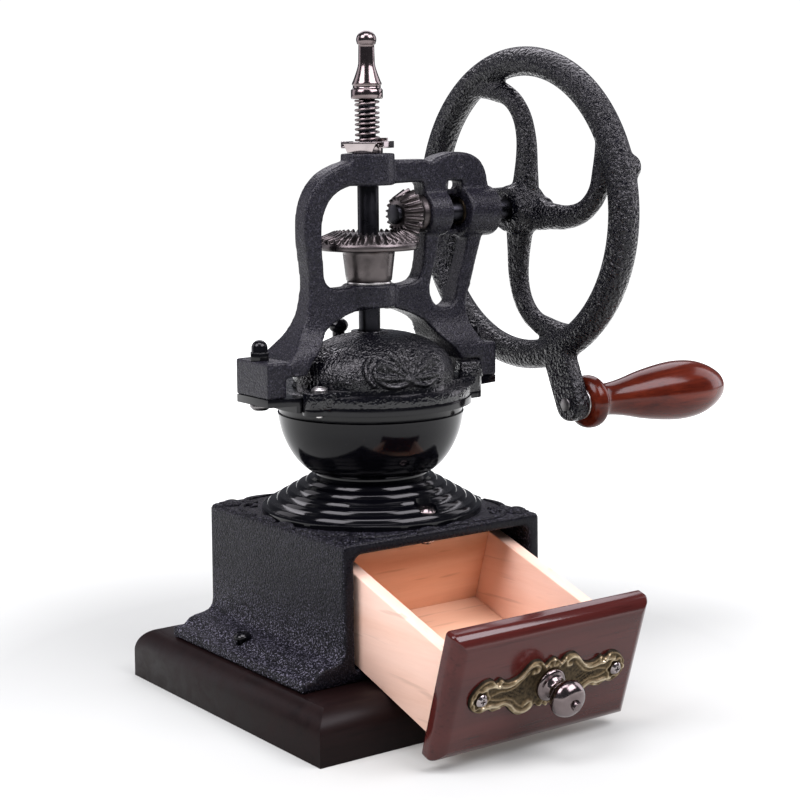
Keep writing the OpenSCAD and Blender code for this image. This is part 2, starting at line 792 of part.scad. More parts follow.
module ring_gear() {
    color("#5a4a44")
        difference() {
            union() {
                rotate_extrude()
                    polygon([[spindle_r, z_hub0], [hub_r0 - 0.8, z_hub0], [hub_r0, z_hub0 + 0.8], [hub_r1, z_ring_back],
                        [ring_rim[0], z_ring_back], [ring_rim[0] + 0.5, z_ring_back + 0.6],
                        [ring_rim[0] + 0.5, z_apex + ring_rim[1]], [ring_in[0], z_apex + ring_in[1]],
                        [spindle_r, z_apex + ring_in[1] - 0.4]]);
                translate([0, 0, z_apex])
                    for (i = [0:ring_z - 1])
                        rotate([0, 0, (i + 0.5) * 360 / ring_z])
                            bevel_tooth(ring_cone);
            }
            translate([0, 0, hub_pin_z])
                rotate([-90, 0, 0])
                    cylinder(h = 20, r = 1.8);
        }
}
ring_rim = root_pt(ring_cone, 1, dedendum);
ring_in = root_pt(ring_cone, inner_k, dedendum);
pin_rim = root_pt(pin_cone, 1, dedendum);
pin_in = root_pt(pin_cone, inner_k, dedendum);

module ring_gear_pin() {
    color("#303030")
        translate([0, spindle_r - 1, hub_pin_z])
            rotate([-90, 0, 0])
                difference() {
                    cylinder(h = hub_r0 - spindle_r, r = 1.75);
                    translate([0, 0, hub_r0 - spindle_r - 1.4])
                        cylinder(h = 2, r = 0.9, $fn = 6);
                }
}

// Cone with cutting ridges at the foot of the spindle
module inner_burr() {
    color("#5b5b5e")
        difference() {
            rotate_extrude()
                polygon([[spindle_r, z_waist + 16], [spindle_r + 3, z_waist + 16], [burr_r - 10.5, z_waist + 8],
                    [burr_r - 7, z_waist - 4], [3, z_waist - 4], [3, z_waist - 2], [spindle_r, z_waist - 2]]);
            for (i = [0:9])
                rotate([0, 0, i * 36 + 10])
                    translate([burr_r - 8.6, 0, z_waist - 6])
                        rotate([0, -14, 0])
                            translate([0, -0.8, 0])
                                cube([3, 1.6, 30]);
        }
}

module burr_nut() {
    color("#777777")
        translate([0, 0, z_waist - 7.2])
            difference() {
                cylinder(h = 3.2, r = 5.4, $fn = 6);
                translate([0, 0, -1])
                    cylinder(h = 6, r = 3);
            }
}

// Stamped plate turned by hand to set the grind: a square cup with two folded tongues
plate_z0 = z_boss_u1 + face_gap;
plate_h = 5.6;
plate_hw = 9.15;
plate_turn = 29;
sheet_t = 1.1;
tongue = 3.6;
module adjusting_plate() {
    color("#a8a4a2")
        translate([0, 0, plate_z0])
            rotate([0, 0, plate_turn])
                difference() {
                    union() {
                        translate([-plate_hw, -plate_hw, plate_h - sheet_t])
                            cube([2 * plate_hw, 2 * plate_hw, sheet_t]);
                        // wide side folded down, the other folded up
                        translate([-plate_hw + sheet_t, 0, 0])
                            rotate([90, 0, -90])
                                linear_extrude(sheet_t)
                                    polygon([[-plate_hw, plate_h], [plate_hw, plate_h], [plate_hw - 2.4, 0.3], [-plate_hw + 2.4, 0.3]]);
                        translate([plate_hw - sheet_t, -7, plate_h - sheet_t])
                            cube([sheet_t, 14, 3]);
                        // tongues with turned up ends, and the sleeve that stands on the boss
                        for (s = [-1, 1]) {
                            translate([-6, s > 0 ? plate_hw - 1 : -plate_hw - tongue + 1, plate_h - sheet_t - 2])
                                cube([12, tongue, sheet_t]);
                            translate([-6, s * (plate_hw - sheet_t / 2) - sheet_t / 2, plate_h - sheet_t - 2])
                                cube([12, sheet_t, 2.4]);
                            translate([-6, s * (plate_hw + tongue - 1 - sheet_t / 2) - sheet_t / 2, plate_h - sheet_t - 2])
                                cube([12, sheet_t, 3.4]);
                        }
                        cylinder(h = plate_h, r = 7.6);
                    }
                    translate([0, 0, -1])
                        cylinder(h = 3, r = spindle_r + run);
                    translate([0, 0, 1])
                        cylinder(h = 20, r = rod_r + run);
                }
}

// Spring: one round wire wound between plate and finial
spring_r = 5.6;
wire_r = 0.7;
spring_turns = 4.5;
spring_z0 = plate_z0 + plate_h + wire_r + 0.3;
spring_z1 = finial_z0 - wire_r - 0.3;
spring_n = 96;
spring_m = 8;
function spring_at(i) = let (t = i / spring_n, a = t * 360 * spring_turns) [a, spring_z0 + (spring_z1 - spring_z0) * t];
module spindle_spring() {
    color("#555558")
        polyhedron(points = [for (i = [0:spring_n]) for (j = [0:spring_m - 1])
            let (q = spring_at(i), b = j * 360 / spring_m, r = spring_r + wire_r * cos(b))
            [r * cos(q[0]), r * sin(q[0]), q[1] + wire_r * sin(b)]],
            faces = concat([[for (j = [0:spring_m - 1]) j]],
                [[for (j = [spring_m - 1:-1:0]) spring_n * spring_m + j]],
                [for (i = [0:spring_n - 1]) for (j = [0:spring_m - 1]) for (h = [0, 1])
                    let (j2 = (j + 1) % spring_m, a = i * spring_m, b = a + spring_m)
                    h == 0 ? [a + j, b + j, b + j2] : [a + j, b + j2, a + j2]]),
            convexity = 10);
}

// Turned nut with a bottle neck and a ball on top
module finial() {
    color("#b5b0ae")
        translate([0, 0, finial_z0])
            rotate_extrude($fn = 64)
                polygon(concat([[rod_r + run, 0], [7.4, 0], [7.9, 0.5], [7.9, 4.4], [7.3, 5], [6.9, 5.4], [6.9, 6.6], [7.4, 7.2], [7.2, 8]],
                    spline([[6.9, 8.6], [5.6, 12], [4.5, 15.4], [4.1, 17.5]], 4),
                    [[4.1, 17.5], [3.9, 26.4], [4.6, 26.9]],
                    [for (i = [0:10]) let (a = -24 + i * 11.4) [5 * cos(a), 29 + 4.5 * sin(a)]],
                    [[0, finial_h], [0, 9], [rod_r + run, 9]]));
}

// ---------- crank ----------

module crank_axle() {
    color("#3a3a3d")
        translate([0, 0, z_axle]) {
            rod_x(cone_a * inner_k * cos(pin_cone) - 2, bear_out1 + face_gap, axle_r);
            rod_x(bear_out1 + face_gap, hub_x0, shoulder_r);
            rod_x(hub_x0, hub_x1 + 1.5, axle_r - 0.02);
            rod_x(hub_x1 + 1.5, hub_x1 + 8, 3.5);
        }
}

pin_back_r = 9.5;

module pinion() {
    color("#6a6462")
        difference() {
            translate([0, 0, z_apex])
                rotate([0, -90, 0])
                        union() {
                            rotate_extrude()
                                polygon([[axle_r, pin_in[1] + 0.4], pin_in, pin_rim, [pin_rim[0] - 1.2, pin_rim[1] - 2.2],
                                    [pin_back_r, pin_rim[1] - 3], [pin_back_r, -bear_in0 + face_gap], [axle_r, -bear_in0 + face_gap]]);
                            for (i = [0:pinion_z - 1])
                                rotate([0, 0, 180 + i * 360 / pinion_z])
                                    bevel_tooth(pin_cone);
                        }
            translate([bear_in0 - 3.2, 0, z_axle + 2])
                cylinder(h = 20, r = 1.3);
        }
}

module pinion_pin() {
    color("#303030")
        translate([bear_in0 - 3.2, 0, z_axle + axle_r])
            difference() {
                cylinder(h = pin_back_r - axle_r - 0.3, r = 1.25);
                translate([0, 0, pin_back_r - axle_r - 1.4])
                    cylinder(h = 2, r = 0.7, $fn = 6);
            }
}

// Spoke centre line as radius and turn from its meeting with the rim
spoke_line = [[8, 26], [20, 20], [34, 17], [46, 12], [55, 5.5], [61, -1], [66, -8], [wheel_r - rim_d / 2 + 1, -16]];
spoke_width = [20, 16.5, 14.5, 12.5, 11.5, 11.5, 13, 17];
spoke_n = 4;
spoke_turn = -11;
spoke_t = 9;
function spoke_ctr() = [for (q = spoke_line) polar_yz(q[0], -q[1])];
function norm2(v) = v / norm(v);
function spoke_side(s) = let (c = spoke_ctr(), n = len(c)) [for (i = [0:n - 1])
    let (d = norm2(c[min(i + 1, n - 1)] - c[max(i - 1, 0)])) c[i] + s * spoke_width[i] / 2 * [-d[1], d[0]]];

module spoke_outline() {
    a = spline(spoke_side(1), 4);
    b = spline(spoke_side(-1), 4);
    polygon(concat(a, [for (i = [len(b) - 1:-1:0]) b[i]]));
}

// Wheel drawn in its own plane: first axis back along Y, second up, standing at wheel_x
module wheel() {
    color("#161618")
        translate([0, 0, z_axle])
            difference() {
                union() {
                    translate([wheel_x, 0, 0])
                        rotate([0, 90, 0])
                            rotate_extrude($fn = 128)
                                translate([wheel_r - rim_d / 2, 0])
                                    circle(r = rim_d / 2, $fn = 32);
                    rod_x(hub_x0, hub_x1, hub_r);
                    for (i = [0:spoke_n - 1])
                        rotate([spoke_turn + i * 360 / spoke_n + 180, 0, 0])
                            translate([wheel_x - spoke_t / 2, 0, 0])
                                rotate([90, 0, 90])
                                    linear_extrude(spoke_t)
                                        rotate(180)
                                            spoke_outline();
                    // arm that carries the handle
                    rotate([-crank_turn, 0, 0])
                        translate([lug_x0, 0, 0])
                            rotate([90, 0, 90])
                                linear_extrude(lug_t)
                                    union() {
                                        translate([-lug_w / 2, -crank_r])
                                            square([lug_w, crank_r - wheel_r + rim_d - 2]);
                                        translate([0, -crank_r])
                                            circle(r = lug_w / 2);
                                    }
                    // lump on the outer face of the rim
                    rotate([lump_turn, 0, 0])
                        translate([0, 0, wheel_r - rim_d / 2 + 0.5])
                            rod_x(wheel_x, wheel_x + rim_d / 2 + 1.6, 5.5);
                }
                rod_x(hub_x0 - 1, hub_x1 + 1, axle_r);
                rotate([-crank_turn, 0, 0])
                    translate([0, 0, -crank_r])
                        rod_x(lug_x0 - 1, lug_x1 + 1, bolt_r);
            }
}
lug_w = 18.5;
lump_turn = 73.5;

module wheel_washer() {
    color("#3a3a3d")
        translate([hub_x1, 0, z_axle])
            rotate([0, 90, 0])
                tube(1.5, 8.5, axle_r);
}

module wheel_nut() {
    color("#202022")
        translate([hub_x1 + 1.5, 0, z_axle])
            rotate([0, 90, 0])
                difference() {
                    union() {
                        cylinder(h = 5.5, r = 7.2, $fn = 6);
                        translate([0, 0, 5.5])
                            intersection() {
                                sphere(r = 5.6);
                                cylinder(h = 8, r = 6);
                            }
                    }
                    translate([0, 0, -1])
                        cylinder(h = 7.5, r = 3.5);
                }
}

grip_y = -crank_r * sin(crank_turn);
grip_z = z_axle - crank_r * cos(crank_turn);

module handle_bolt() {
    color("#555558")
        translate([0, grip_y, grip_z]) {
            rod_x(lug_x0, lug_x1, bolt_r);
            rod_x(lug_x1, grip_x0, 5);
            rod_x(grip_x0, grip_x0 + grip_len + 0.6, bolt_r - 0.3);
            rod_x(lug_x0 - 0.9, lug_x0, 3.4);
        }
}

module grip_washer() {
    color("#8d8d8d")
        translate([lug_x1, grip_y, grip_z])
            rotate([0, 90, 0])
                tube(1, 8.5, 5);
}

module grip() {
    color("#7a2c16")
        translate([grip_x0 + face_gap, grip_y, grip_z])
            rotate([0, 90, 0])
                rotate_extrude($fn = 64)
                    polygon(concat([[bolt_r - 0.3 + run, 0], [10.8, 0]],
                        spline([[10.8, 0], [13, 1.8], [13.6, 4.8], [13, 7.8], [10.6, 10.2]], 4),
                        spline([[9.2, 11.2], [8.3, 15], [8.7, 22], [10.2, 31], [12.6, grip_len * 0.42],
                            [grip_r - 0.9, grip_len * 0.56], [grip_r, grip_len * 0.68], [grip_r - 0.8, grip_len * 0.79],
                            [grip_r - 3.4, grip_len * 0.88], [8.4, grip_len * 0.955], [4.6, grip_len * 0.99],
                            [bolt_r + 1, grip_len]], 5),
                        [[bolt_r - 0.3 + run, grip_len]]));
}

// ---------- drawer ----------

// Puts a drawer drawn level and shut into its open, hanging place
module hang() {
    translate([0, lip_y, lip_z + lip_gap])
        rotate([droop, 0, 0])
            translate([0, -drawer_out, 0])
                children();
}

module drawer_sides() {
    color("#e2b58a")
        hang()
            for (s = [-1, 1])
                translate([s > 0 ? drawer_hw - side_t : -drawer_hw, 0, 0])
                    cube([side_t, drawer_len, drawer_h]);
}

module drawer_back() {
    color("#dca878")
        hang()
            translate([-drawer_hw + side_t, drawer_len - side_t, 0])
                cube([2 * (drawer_hw - side_t), side_t, drawer_h]);
}

module drawer_bottom() {
    color("#e6bd95")
        hang()
            translate([-drawer_hw + side_t, 0, 0])
                cube([2 * (drawer_hw - side_t), drawer_len - side_t, bottom_t]);
}

module drawer_front() {
    c = 4;
    color("#3a1210")
        hang()
            difference() {
                translate([0, 0, panel_h / 2 - panel_drop])
                    rotate([90, 0, 0])
                        union() {
                            translate([-panel_hw, -panel_h / 2, 0])
                                cube([2 * panel_hw, panel_h, panel_t - c]);
                            polyhedron(points = concat(
                                [for (q = [[-1, -1], [1, -1], [1, 1], [-1, 1]]) [q[0] * panel_hw, q[1] * panel_h / 2, panel_t - c]],
                                [for (q = [[-1, -1], [1, -1], [1, 1], [-1, 1]]) [q[0] * (panel_hw - c), q[1] * (panel_h / 2 - c), panel_t]]),
                                faces = [[0, 1, 2, 3], [7, 6, 5, 4], [0, 4, 5, 1], [1, 5, 6, 2], [2, 6, 7, 3], [3, 7, 4, 0]]);
                        }
                translate([0, 1, knob_z])
                    rotate([90, 0, 0])
                        cylinder(h = panel_t + 2, r = 2.1);
                for (s = [-1, 1])
                    translate([s * plate_screw_x, -panel_t + 7, knob_z])
                        rotate([90, 0, 0])
                            cylinder(h = 10, r = 1.2);
            }
}
plate_screw_x = 39;
plate_t = 1.6;

// Right half of the scrolled plate behind the knob
function plate_half() = spline([[0, 13.4], [2.6, 12.2], [4.6, 10.4], [7.4, 13.2], [11.8, 13.6], [15.4, 11], [18, 8],
    [22, 6.4], [26, 6.6], [29, 8.6], [31.6, 7.2], [34.4, 9.2], [38.2, 8.8], [42, 6.2], [44.8, 2.2], [44.6, -2.4], [41.8, -6],
    [37.6, -7.6], [33.8, -6.4], [31, -8.4], [27, -7.4], [23.4, -7.2], [20, -10.4], [15.6, -13.4], [10.4, -12.6], [7, -9.6],
    [4.4, -11.4], [2, -11], [0, -11.8]], 3);

module backplate_outline() {
    right = plate_half();
    polygon(concat(right, [for (i = [len(right) - 2:-1:1]) [-right[i][0], right[i][1]]]));
}

module drawer_backplate() {
    color("#8d7a45")
        hang()
            translate([0, -panel_t, knob_z])
                rotate([90, 0, 0])
                    difference() {
                        linear_extrude(plate_t)
                            backplate_outline();
                        translate([0, 0, -1])
                            cylinder(h = 5, r = 2.1);
                        for (s = [-1, 1])
                            translate([s * plate_screw_x, 0, -1])
                                cylinder(h = 5, r = 1.3);
                    }
}

module backplate_screws() {
    color("#9a9a9a")
        hang()
            for (s = [-1, 1])
                translate([s * plate_screw_x, -panel_t - plate_t, knob_z])
                    rotate([90, 0, 0])
                        pan_head(3, 1.9, 1.15, plate_t + 6);
}

// Mushroom knob on a waisted foot
knob_l = 18;
module drawer_knob() {
    color("#8f8a8a")
        hang()
            translate([0, -panel_t - plate_t, knob_z])
                rotate([90, 0, 0])
                    rotate_extrude($fn = 64)
                        polygon(concat([[1.7, 0], [7.6, 0], [8, 0.9], [7.6, 2], [5.4, 3.2], [4.3, 5.4]],
                            spline([[4.3, 5.4], [4.8, 7.6], [7.4, 9.2], [8.7, 11.4], [8.5, 13.8], [6.8, 16.4], [4.2, 17.7], [2.8, 18]], 4),
                            [[2.8, knob_l], [1.7, knob_l]]));
}

module knob_bolt() {
    color("#6f6a6a")
        hang()
            translate([0, 0, knob_z])
                rotate([90, 0, 0])
                    union() {
                        translate([0, 0, -2.4])
                            cylinder(h = 2.4, r = 4.5);
                        cylinder(h = panel_t + plate_t + knob_l, r = 1.7);
                        translate([0, 0, panel_t + plate_t + knob_l])
                            cylinder(h = 2, r1 = 2.6, r2 = 2.2, $fn = 6);
                    }
}

// ---------- assembly ----------

base_board();
drawer_housing();
housing_screws();
hopper_body();
pedestal_screws();
pedestal_nuts();
outer_burr();
hopper_lid();
lid_screws();
yoke();
yoke_bolts();
acorn_nuts();
axle_bushings();
spindle_bushings();
thrust_washer();
spindle();
ring_gear();
ring_gear_pin();
inner_burr();
burr_nut();
adjusting_plate();
spindle_spring();
finial();
crank_axle();
pinion();
pinion_pin();
wheel();
wheel_washer();
wheel_nut();
handle_bolt();
grip_washer();
grip();
hopper_door();
door_knob();
drawer_sides();
drawer_back();
drawer_bottom();
drawer_front();
drawer_backplate();
backplate_screws();
drawer_knob();
knob_bolt();
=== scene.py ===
"""Looks of a hand crank coffee grinder: castings, enamel, wood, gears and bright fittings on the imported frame."""

import json
import math

import bmesh
import bpy
import numpy as np
from mathutils import Matrix, Vector

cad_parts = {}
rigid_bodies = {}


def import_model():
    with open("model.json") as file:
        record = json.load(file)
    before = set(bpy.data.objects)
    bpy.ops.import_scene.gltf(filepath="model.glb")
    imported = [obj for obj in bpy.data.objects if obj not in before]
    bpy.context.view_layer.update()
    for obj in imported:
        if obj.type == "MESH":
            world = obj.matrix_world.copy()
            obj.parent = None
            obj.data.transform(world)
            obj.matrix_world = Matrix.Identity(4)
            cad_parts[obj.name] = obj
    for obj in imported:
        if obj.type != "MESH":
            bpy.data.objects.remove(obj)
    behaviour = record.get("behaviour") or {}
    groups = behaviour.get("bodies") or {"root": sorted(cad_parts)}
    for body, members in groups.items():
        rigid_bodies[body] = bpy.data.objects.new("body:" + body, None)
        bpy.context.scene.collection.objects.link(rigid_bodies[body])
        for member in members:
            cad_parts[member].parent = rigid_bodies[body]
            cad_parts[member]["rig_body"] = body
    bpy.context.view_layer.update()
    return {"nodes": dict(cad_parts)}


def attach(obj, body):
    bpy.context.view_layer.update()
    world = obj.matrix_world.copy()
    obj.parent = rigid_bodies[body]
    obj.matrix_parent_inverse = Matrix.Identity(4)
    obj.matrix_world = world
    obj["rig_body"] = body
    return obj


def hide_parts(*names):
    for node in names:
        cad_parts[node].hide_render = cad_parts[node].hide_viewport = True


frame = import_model()
nodes = frame["nodes"]
MM = 0.001

# Sizes of the frame that the new pieces sit on, in millimetres
AXLE_Z = 236.5
BOX_TOP = 90.0
DOME_R, DOME_Z, DOME_TOP, DOME_WALL = 42.0, 152.5, 27.0, 5.5
WHEEL_X, WHEEL_R, RIM_R = 99.5, 84.5, 7.5
CRANK_R, CRANK_TURN = 107.0, math.radians(23)
PANEL_T, PANEL_HW, PANEL_HH, KNOB_Z = 10.0, 56.5, 31.25, 25.75
# How the drawer hangs: pulled out, then turned down about the lip of its box
PULL, DROOP = 59.0, math.radians(17.5)
LIP = np.array([0.0, -60.0, 30.2])


# ---------- materials ----------

def scaled(color, share):
    """The colour times a share, kept at 1 or under."""
    return tuple(min(1, c * share) for c in color)


def halfway(a, b):
    """The colour halfway between two."""
    return tuple((p + q) / 2 for p, q in zip(a, b))


def grain_scale(along, slow, fast):
    """Noise scale of wood: slow along the grain and fast across it."""
    return tuple(slow if axis == along else fast for axis in "xyz")


def finer(scale, times):
    """A noise scale made finer."""
    return tuple(v * times for v in scale)


# Every material made here, by the name it was asked for
FINISH = {}


class Finish:
    """A node material made step by step; every pattern reads Object coordinates."""

    def __init__(self, name, color, rough=0.5, metal=0.0, spec=0.5, coat=0.0, coat_rough=0.05):
        self.mat = FINISH[name] = bpy.data.materials.new(name)
        self.mat.use_nodes = True
        self.tree = self.mat.node_tree
        self.bsdf = next(n for n in self.tree.nodes if n.type == "BSDF_PRINCIPLED")
        self.use("Base Color", (*color, 1))
        self.use("Roughness", rough)
        self.use("Metallic", metal)
        self.use("Specular IOR Level", spec)
        self.use("Coat Weight", coat)
        self.use("Coat Roughness", coat_rough)
        self.coord = self.node("ShaderNodeTexCoord").outputs["Object"]
        self.height = None

    def node(self, kind, **sockets):
        """A new node with some of its sockets linked or set."""
        n = self.tree.nodes.new(kind)
        for key, value in sockets.items():
            self.plug(n.inputs[key], value)
        return n

    def plug(self, socket, value):
        """Links a socket to another one, or sets it to a constant."""
        if isinstance(value, bpy.types.NodeSocket):
            self.tree.links.new(value, socket)
        else:
            socket.default_value = value

    def use(self, socket, value):
        """Links or sets one socket of the surface shader."""
        self.plug(self.bsdf.inputs[socket], value)

    def placed(self, turn=(0, 0, 0), scale=(1, 1, 1)):
        """The coordinates stretched, then turned."""
        return self.node("ShaderNodeMapping", Vector=self.coord, Rotation=turn, Scale=scale).outputs[0]

    def part(self, vector, axis):
        """One component of a vector."""
        return self.node("ShaderNodeSeparateXYZ", Vector=vector).outputs[axis]

    def noise(self, scale, detail=3.0, rough=0.5, vector=None, distortion=0.0):
        """Cloudy noise in 0..1."""
        return self.node("ShaderNodeTexNoise", Vector=vector or self.coord, Scale=scale, Detail=detail,
                         Roughness=rough, Distortion=distortion).outputs["Fac"]

    def cells(self, scale, smooth):
        """Distance to the middle of the nearest cell, with the seams between cells smoothed."""
        n = self.node("ShaderNodeTexVoronoi", Vector=self.coord, Scale=scale)
        n.feature = "SMOOTH_F1"
        n.inputs["Smoothness"].default_value = smooth
        return n.outputs["Distance"]

    def ramp(self, fac, stops):
        """Colour read off a row of (place, colour) stops."""
        r = self.node("ShaderNodeValToRGB", Fac=fac)
        e = r.color_ramp.elements
        while len(e) < len(stops):
            e.new(0.5)
        for slot, (at, c) in zip(e, stops):
            slot.position = at
            slot.color = (*c, 1)
        return r.outputs["Color"]

    def math(self, op, a, b):
        """One sum on two values."""
        m = self.tree.nodes.new("ShaderNodeMath")
        m.operation = op
        self.plug(m.inputs[0], a)
        self.plug(m.inputs[1], b)
        return m.outputs[0]

    def mix(self, fac, a, b):
        """Colour a where fac is 0 and colour b where it is 1."""
        m = self.tree.nodes.new("ShaderNodeMix")
        m.data_type = "RGBA"
        for i, v in ((0, fac), (6, a), (7, b)):
            self.plug(m.inputs[i], v if isinstance(v, bpy.types.NodeSocket) else (*v, 1))
        return m.outputs[2]

    def map(self, value, lo, hi, out_lo, out_hi):
        """The value's place between lo and hi, taken to the same place between out_lo and out_hi."""
        m = self.node("ShaderNodeMapRange")
        for i, v in enumerate((value, lo, hi, out_lo, out_hi)):
            self.plug(m.inputs[i], v)
        return m.outputs[0]

    def bump(self, height, strength, distance):
        """Adds a layer of relief over the layers before it."""
        b = self.node("ShaderNodeBump", Height=height, Strength=strength, Distance=distance)
        if self.height is not None:
            self.plug(b.inputs["Normal"], self.height)
        self.height = b.outputs[0]
        self.use("Normal", self.height)


# Colour of the painted glints on the castings; heights in metres over which the box's painted glints thin out and the
# lid's pits set in
GLINT_PAINT = (0.28, 0.27, 0.35)
FEET_Z, RIM_Z = (0.045, 0.06), (0.155, 0.159)


def casting(name, color, rough, grain, depth, swell, shine, fine, coat=0.0, painted_glints=0.0, calm_front=False,
            calm_rim=False):
    """Painted casting: smooth pits of one grain size over slower swells; each pit has its own gloss, and light specks
    painted into the colour stand for sand grains under the paint catching the light. `calm_front` smooths the faces
    that look at -Y and thins out the painted glints above the feet of the box, `calm_rim` smooths the lid's flat rim."""
    f = Finish(name, color, rough, spec=shine, coat=coat, coat_rough=0.1)
    small = f.noise(grain * 1.5, 2)
    sand = f.math("ADD", f.math("MULTIPLY", f.cells(grain, 0.4), 0.45), f.noise(grain * 0.9, 2, 0.45, distortion=0.4))
    pits = f.math("ADD", sand, f.math("MULTIPLY", small, fine))
    amount = share = 1.0
    if calm_rim:
        amount = f.map(f.part(f.coord, "Z"), *RIM_Z, 0.3, 1.0)
    if calm_front:
        facing = f.part(f.node("ShaderNodeNewGeometry").outputs["Normal"], "Y")
        amount = f.map(facing, -0.95, -0.6, 0.12, 1.0)
        # Share of the painted glints: full on the feet of the box, thinner higher up
        share = f.map(f.part(f.coord, "Z"), *FEET_Z, 1.0, 0.36)
    f.bump(f.noise(grain * 0.3, 2), 0.6, swell)
    f.bump(f.math("MULTIPLY", pits, amount), 1.0, depth)
    f.use("Roughness", f.map(small, 0.35, 0.65, rough * 0.6, min(1.0, rough * 1.5)))
    tone = f.ramp(f.noise(grain * 0.8, 3), [(0.3, scaled(color, 0.6)), (0.7, scaled(color, 1.5))])
    # Light specks painted into the base colour as glints off sand grains, not real colour of the casting
    if painted_glints:
        glint_speck = f.map(f.noise(grain * 1.25, 1, 0.4), 0.56, 0.66, 0.0, painted_glints)
        tone = f.mix(f.math("MULTIPLY", f.math("MULTIPLY", glint_speck, amount), share), tone, GLINT_PAINT)
    f.use("Base Color", tone)


def enamel(name, color):
    """Baked gloss enamel: almost a mirror, with the faint orange peel of a thick coat and a few dust specks."""
    f = Finish(name, color, 0.12, spec=0.26, coat_rough=0.03)
    f.bump(f.noise(220, 2, 0.4), 0.1, 0.0002)
    f.use("Roughness", f.map(f.noise(60), 0.35, 0.7, 0.09, 0.17))
    dust = f.ramp(f.noise(1500, 2, 0.3), [(0.0, (0, 0, 0)), (0.78, (0, 0, 0)), (0.84, (1, 1, 1))])
    f.use("Base Color", f.mix(dust, color, tuple(c * 4 + 0.02 for c in color)))


def lacquered(name, dark, light, rough, coat, shine, turn=(0, 0, 0), scale=1.0):
    """Stained wood under lacquer: long streaks of grain along X, fine pores in them, and slow clouds in the stain."""
    f = Finish(name, dark, rough, spec=shine, coat=coat, coat_rough=0.08)
    streaks = grain_scale("x", 6, 90)
    grain = f.noise(1.0, 5, 0.6, f.placed(turn, finer(streaks, scale)), 0.6)
    pores = f.noise(1.0, 2, 0.5, f.placed(turn, finer(finer(streaks, 7), scale)))
    cloud = f.noise(14, 2)
    tone = f.ramp(grain, [(0.25, dark), (0.5, halfway(dark, light)), (0.8, light)])
    tone = f.mix(f.map(cloud, 0.3, 0.7, 0.0, 0.45), tone, scaled(dark, 0.6))
    f.use("Base Color", f.mix(f.map(pores, 0.55, 0.75, 0.0, 0.5), tone, scaled(dark, 0.4)))
    f.bump(pores, 0.15, 0.0001)
    f.bump(f.noise(160, 2), 0.08, 0.0002)
    f.use("Roughness", f.map(grain, 0.3, 0.7, rough * 0.85, rough * 1.25))


def bare_wood(name, pale, deep, turn, along):
    """Sanded pale hardwood: soft long figure, short darker flecks, and an open matte surface."""
    f = Finish(name, pale, 0.62, spec=0.35)
    streaks = grain_scale(along, 5, 60)
    figure = f.noise(1.0, 4, 0.55, f.placed(turn, streaks), 0.8)
    flecks = f.noise(1.0, 2, 0.45, f.placed(turn, finer(streaks, 5.5)))
    fibre = f.noise(1.0, 3, 0.6, f.placed(turn, finer(streaks, 16)))
    tone = f.ramp(figure, [(0.28, deep), (0.5, halfway(pale, deep)), (0.72, pale)])
    tone = f.mix(f.map(flecks, 0.62, 0.7, 0.0, 0.55), tone, scaled(deep, 0.72))
    f.use("Base Color", f.mix(f.map(fibre, 0.3, 0.7, 0.0, 0.22), tone, scaled(pale, 1.12)))
    f.bump(fibre, 0.25, 0.00015)
    f.use("Roughness", f.map(fibre, 0.3, 0.7, 0.5, 0.75))


def steel(name, color, rough, brushed=0, grime=0.3):
    """Turned or ground metal: fine tool lines, smears that dull it, and dark grime in the slow patches."""
    f = Finish(name, color, rough, metal=1.0)
    smear = f.noise(90, 4, 0.6)
    if brushed:
        f.bump(f.noise(brushed, 2, 0.5, f.placed(scale=(1, 1, 14))), 0.25, 0.00006)
    f.use("Roughness", f.map(smear, 0.3, 0.7, rough * 0.7, rough * 1.5))
    f.use("Base Color", f.mix(f.map(f.noise(140), 0.45, 0.75, 0.0, grime), color, scaled(color, 0.35)))


def aged_bronze(name):
    """Stamped bronze left to darken: the relief attribute puts near-black patina low down and rubbed metal on the
    ridges."""
    f = Finish(name, (0.36, 0.3, 0.17), 0.36, metal=0.9)
    relief = f.node("ShaderNodeAttribute")
    relief.attribute_name = "relief"
    patchy = f.math("MULTIPLY", f.math("SUBTRACT", f.noise(700), 0.5), 0.5)
    worn = f.math("ADD", relief.outputs["Fac"], patchy)
    patina, brown, bronze, rubbed = (0.022, 0.017, 0.011), (0.15, 0.108, 0.058), (0.3, 0.232, 0.142), (0.5, 0.42, 0.29)
    f.use("Base Color", f.ramp(worn, [(0.12, patina), (0.45, brown), (0.72, bronze), (0.95, rubbed)]))
    f.use("Roughness", f.map(worn, 0.2, 0.9, 0.62, 0.28))
    f.bump(f.noise(1300), 0.2, 0.0001)


# Turn given to the patterns of the drawer's wood once they are stretched
DRAWER_TURN = (-DROOP, 0, 0)
lacquered("wood_base", (0.0045, 0.0018, 0.0019), (0.014, 0.0058, 0.0055), rough=0.4, coat=0.0, shine=0.12)
lacquered("wood_front", (0.046, 0.0075, 0.0065), (0.09, 0.017, 0.014), rough=0.13, coat=0.15, shine=0.3,
          turn=DRAWER_TURN)
lacquered("wood_grip", (0.03, 0.0035, 0.002), (0.15, 0.02, 0.007), rough=0.17, coat=0.1, shine=0.17, scale=1.3)
bare_wood("wood_drawer", (0.9, 0.64, 0.52), (0.8, 0.5, 0.37), DRAWER_TURN, "y")
bare_wood("wood_drawer_cross", (0.8, 0.46, 0.29), (0.68, 0.33, 0.19), DRAWER_TURN, "x")
bare_wood("wood_drawer_bottom", (0.82, 0.53, 0.36), (0.74, 0.42, 0.27), DRAWER_TURN, "x")
casting("cast_housing", (0.003, 0.0029, 0.0048), rough=0.34, grain=1000, depth=0.0007, swell=0.0005, shine=0.13,
        fine=0.5, painted_glints=0.5, calm_front=True)
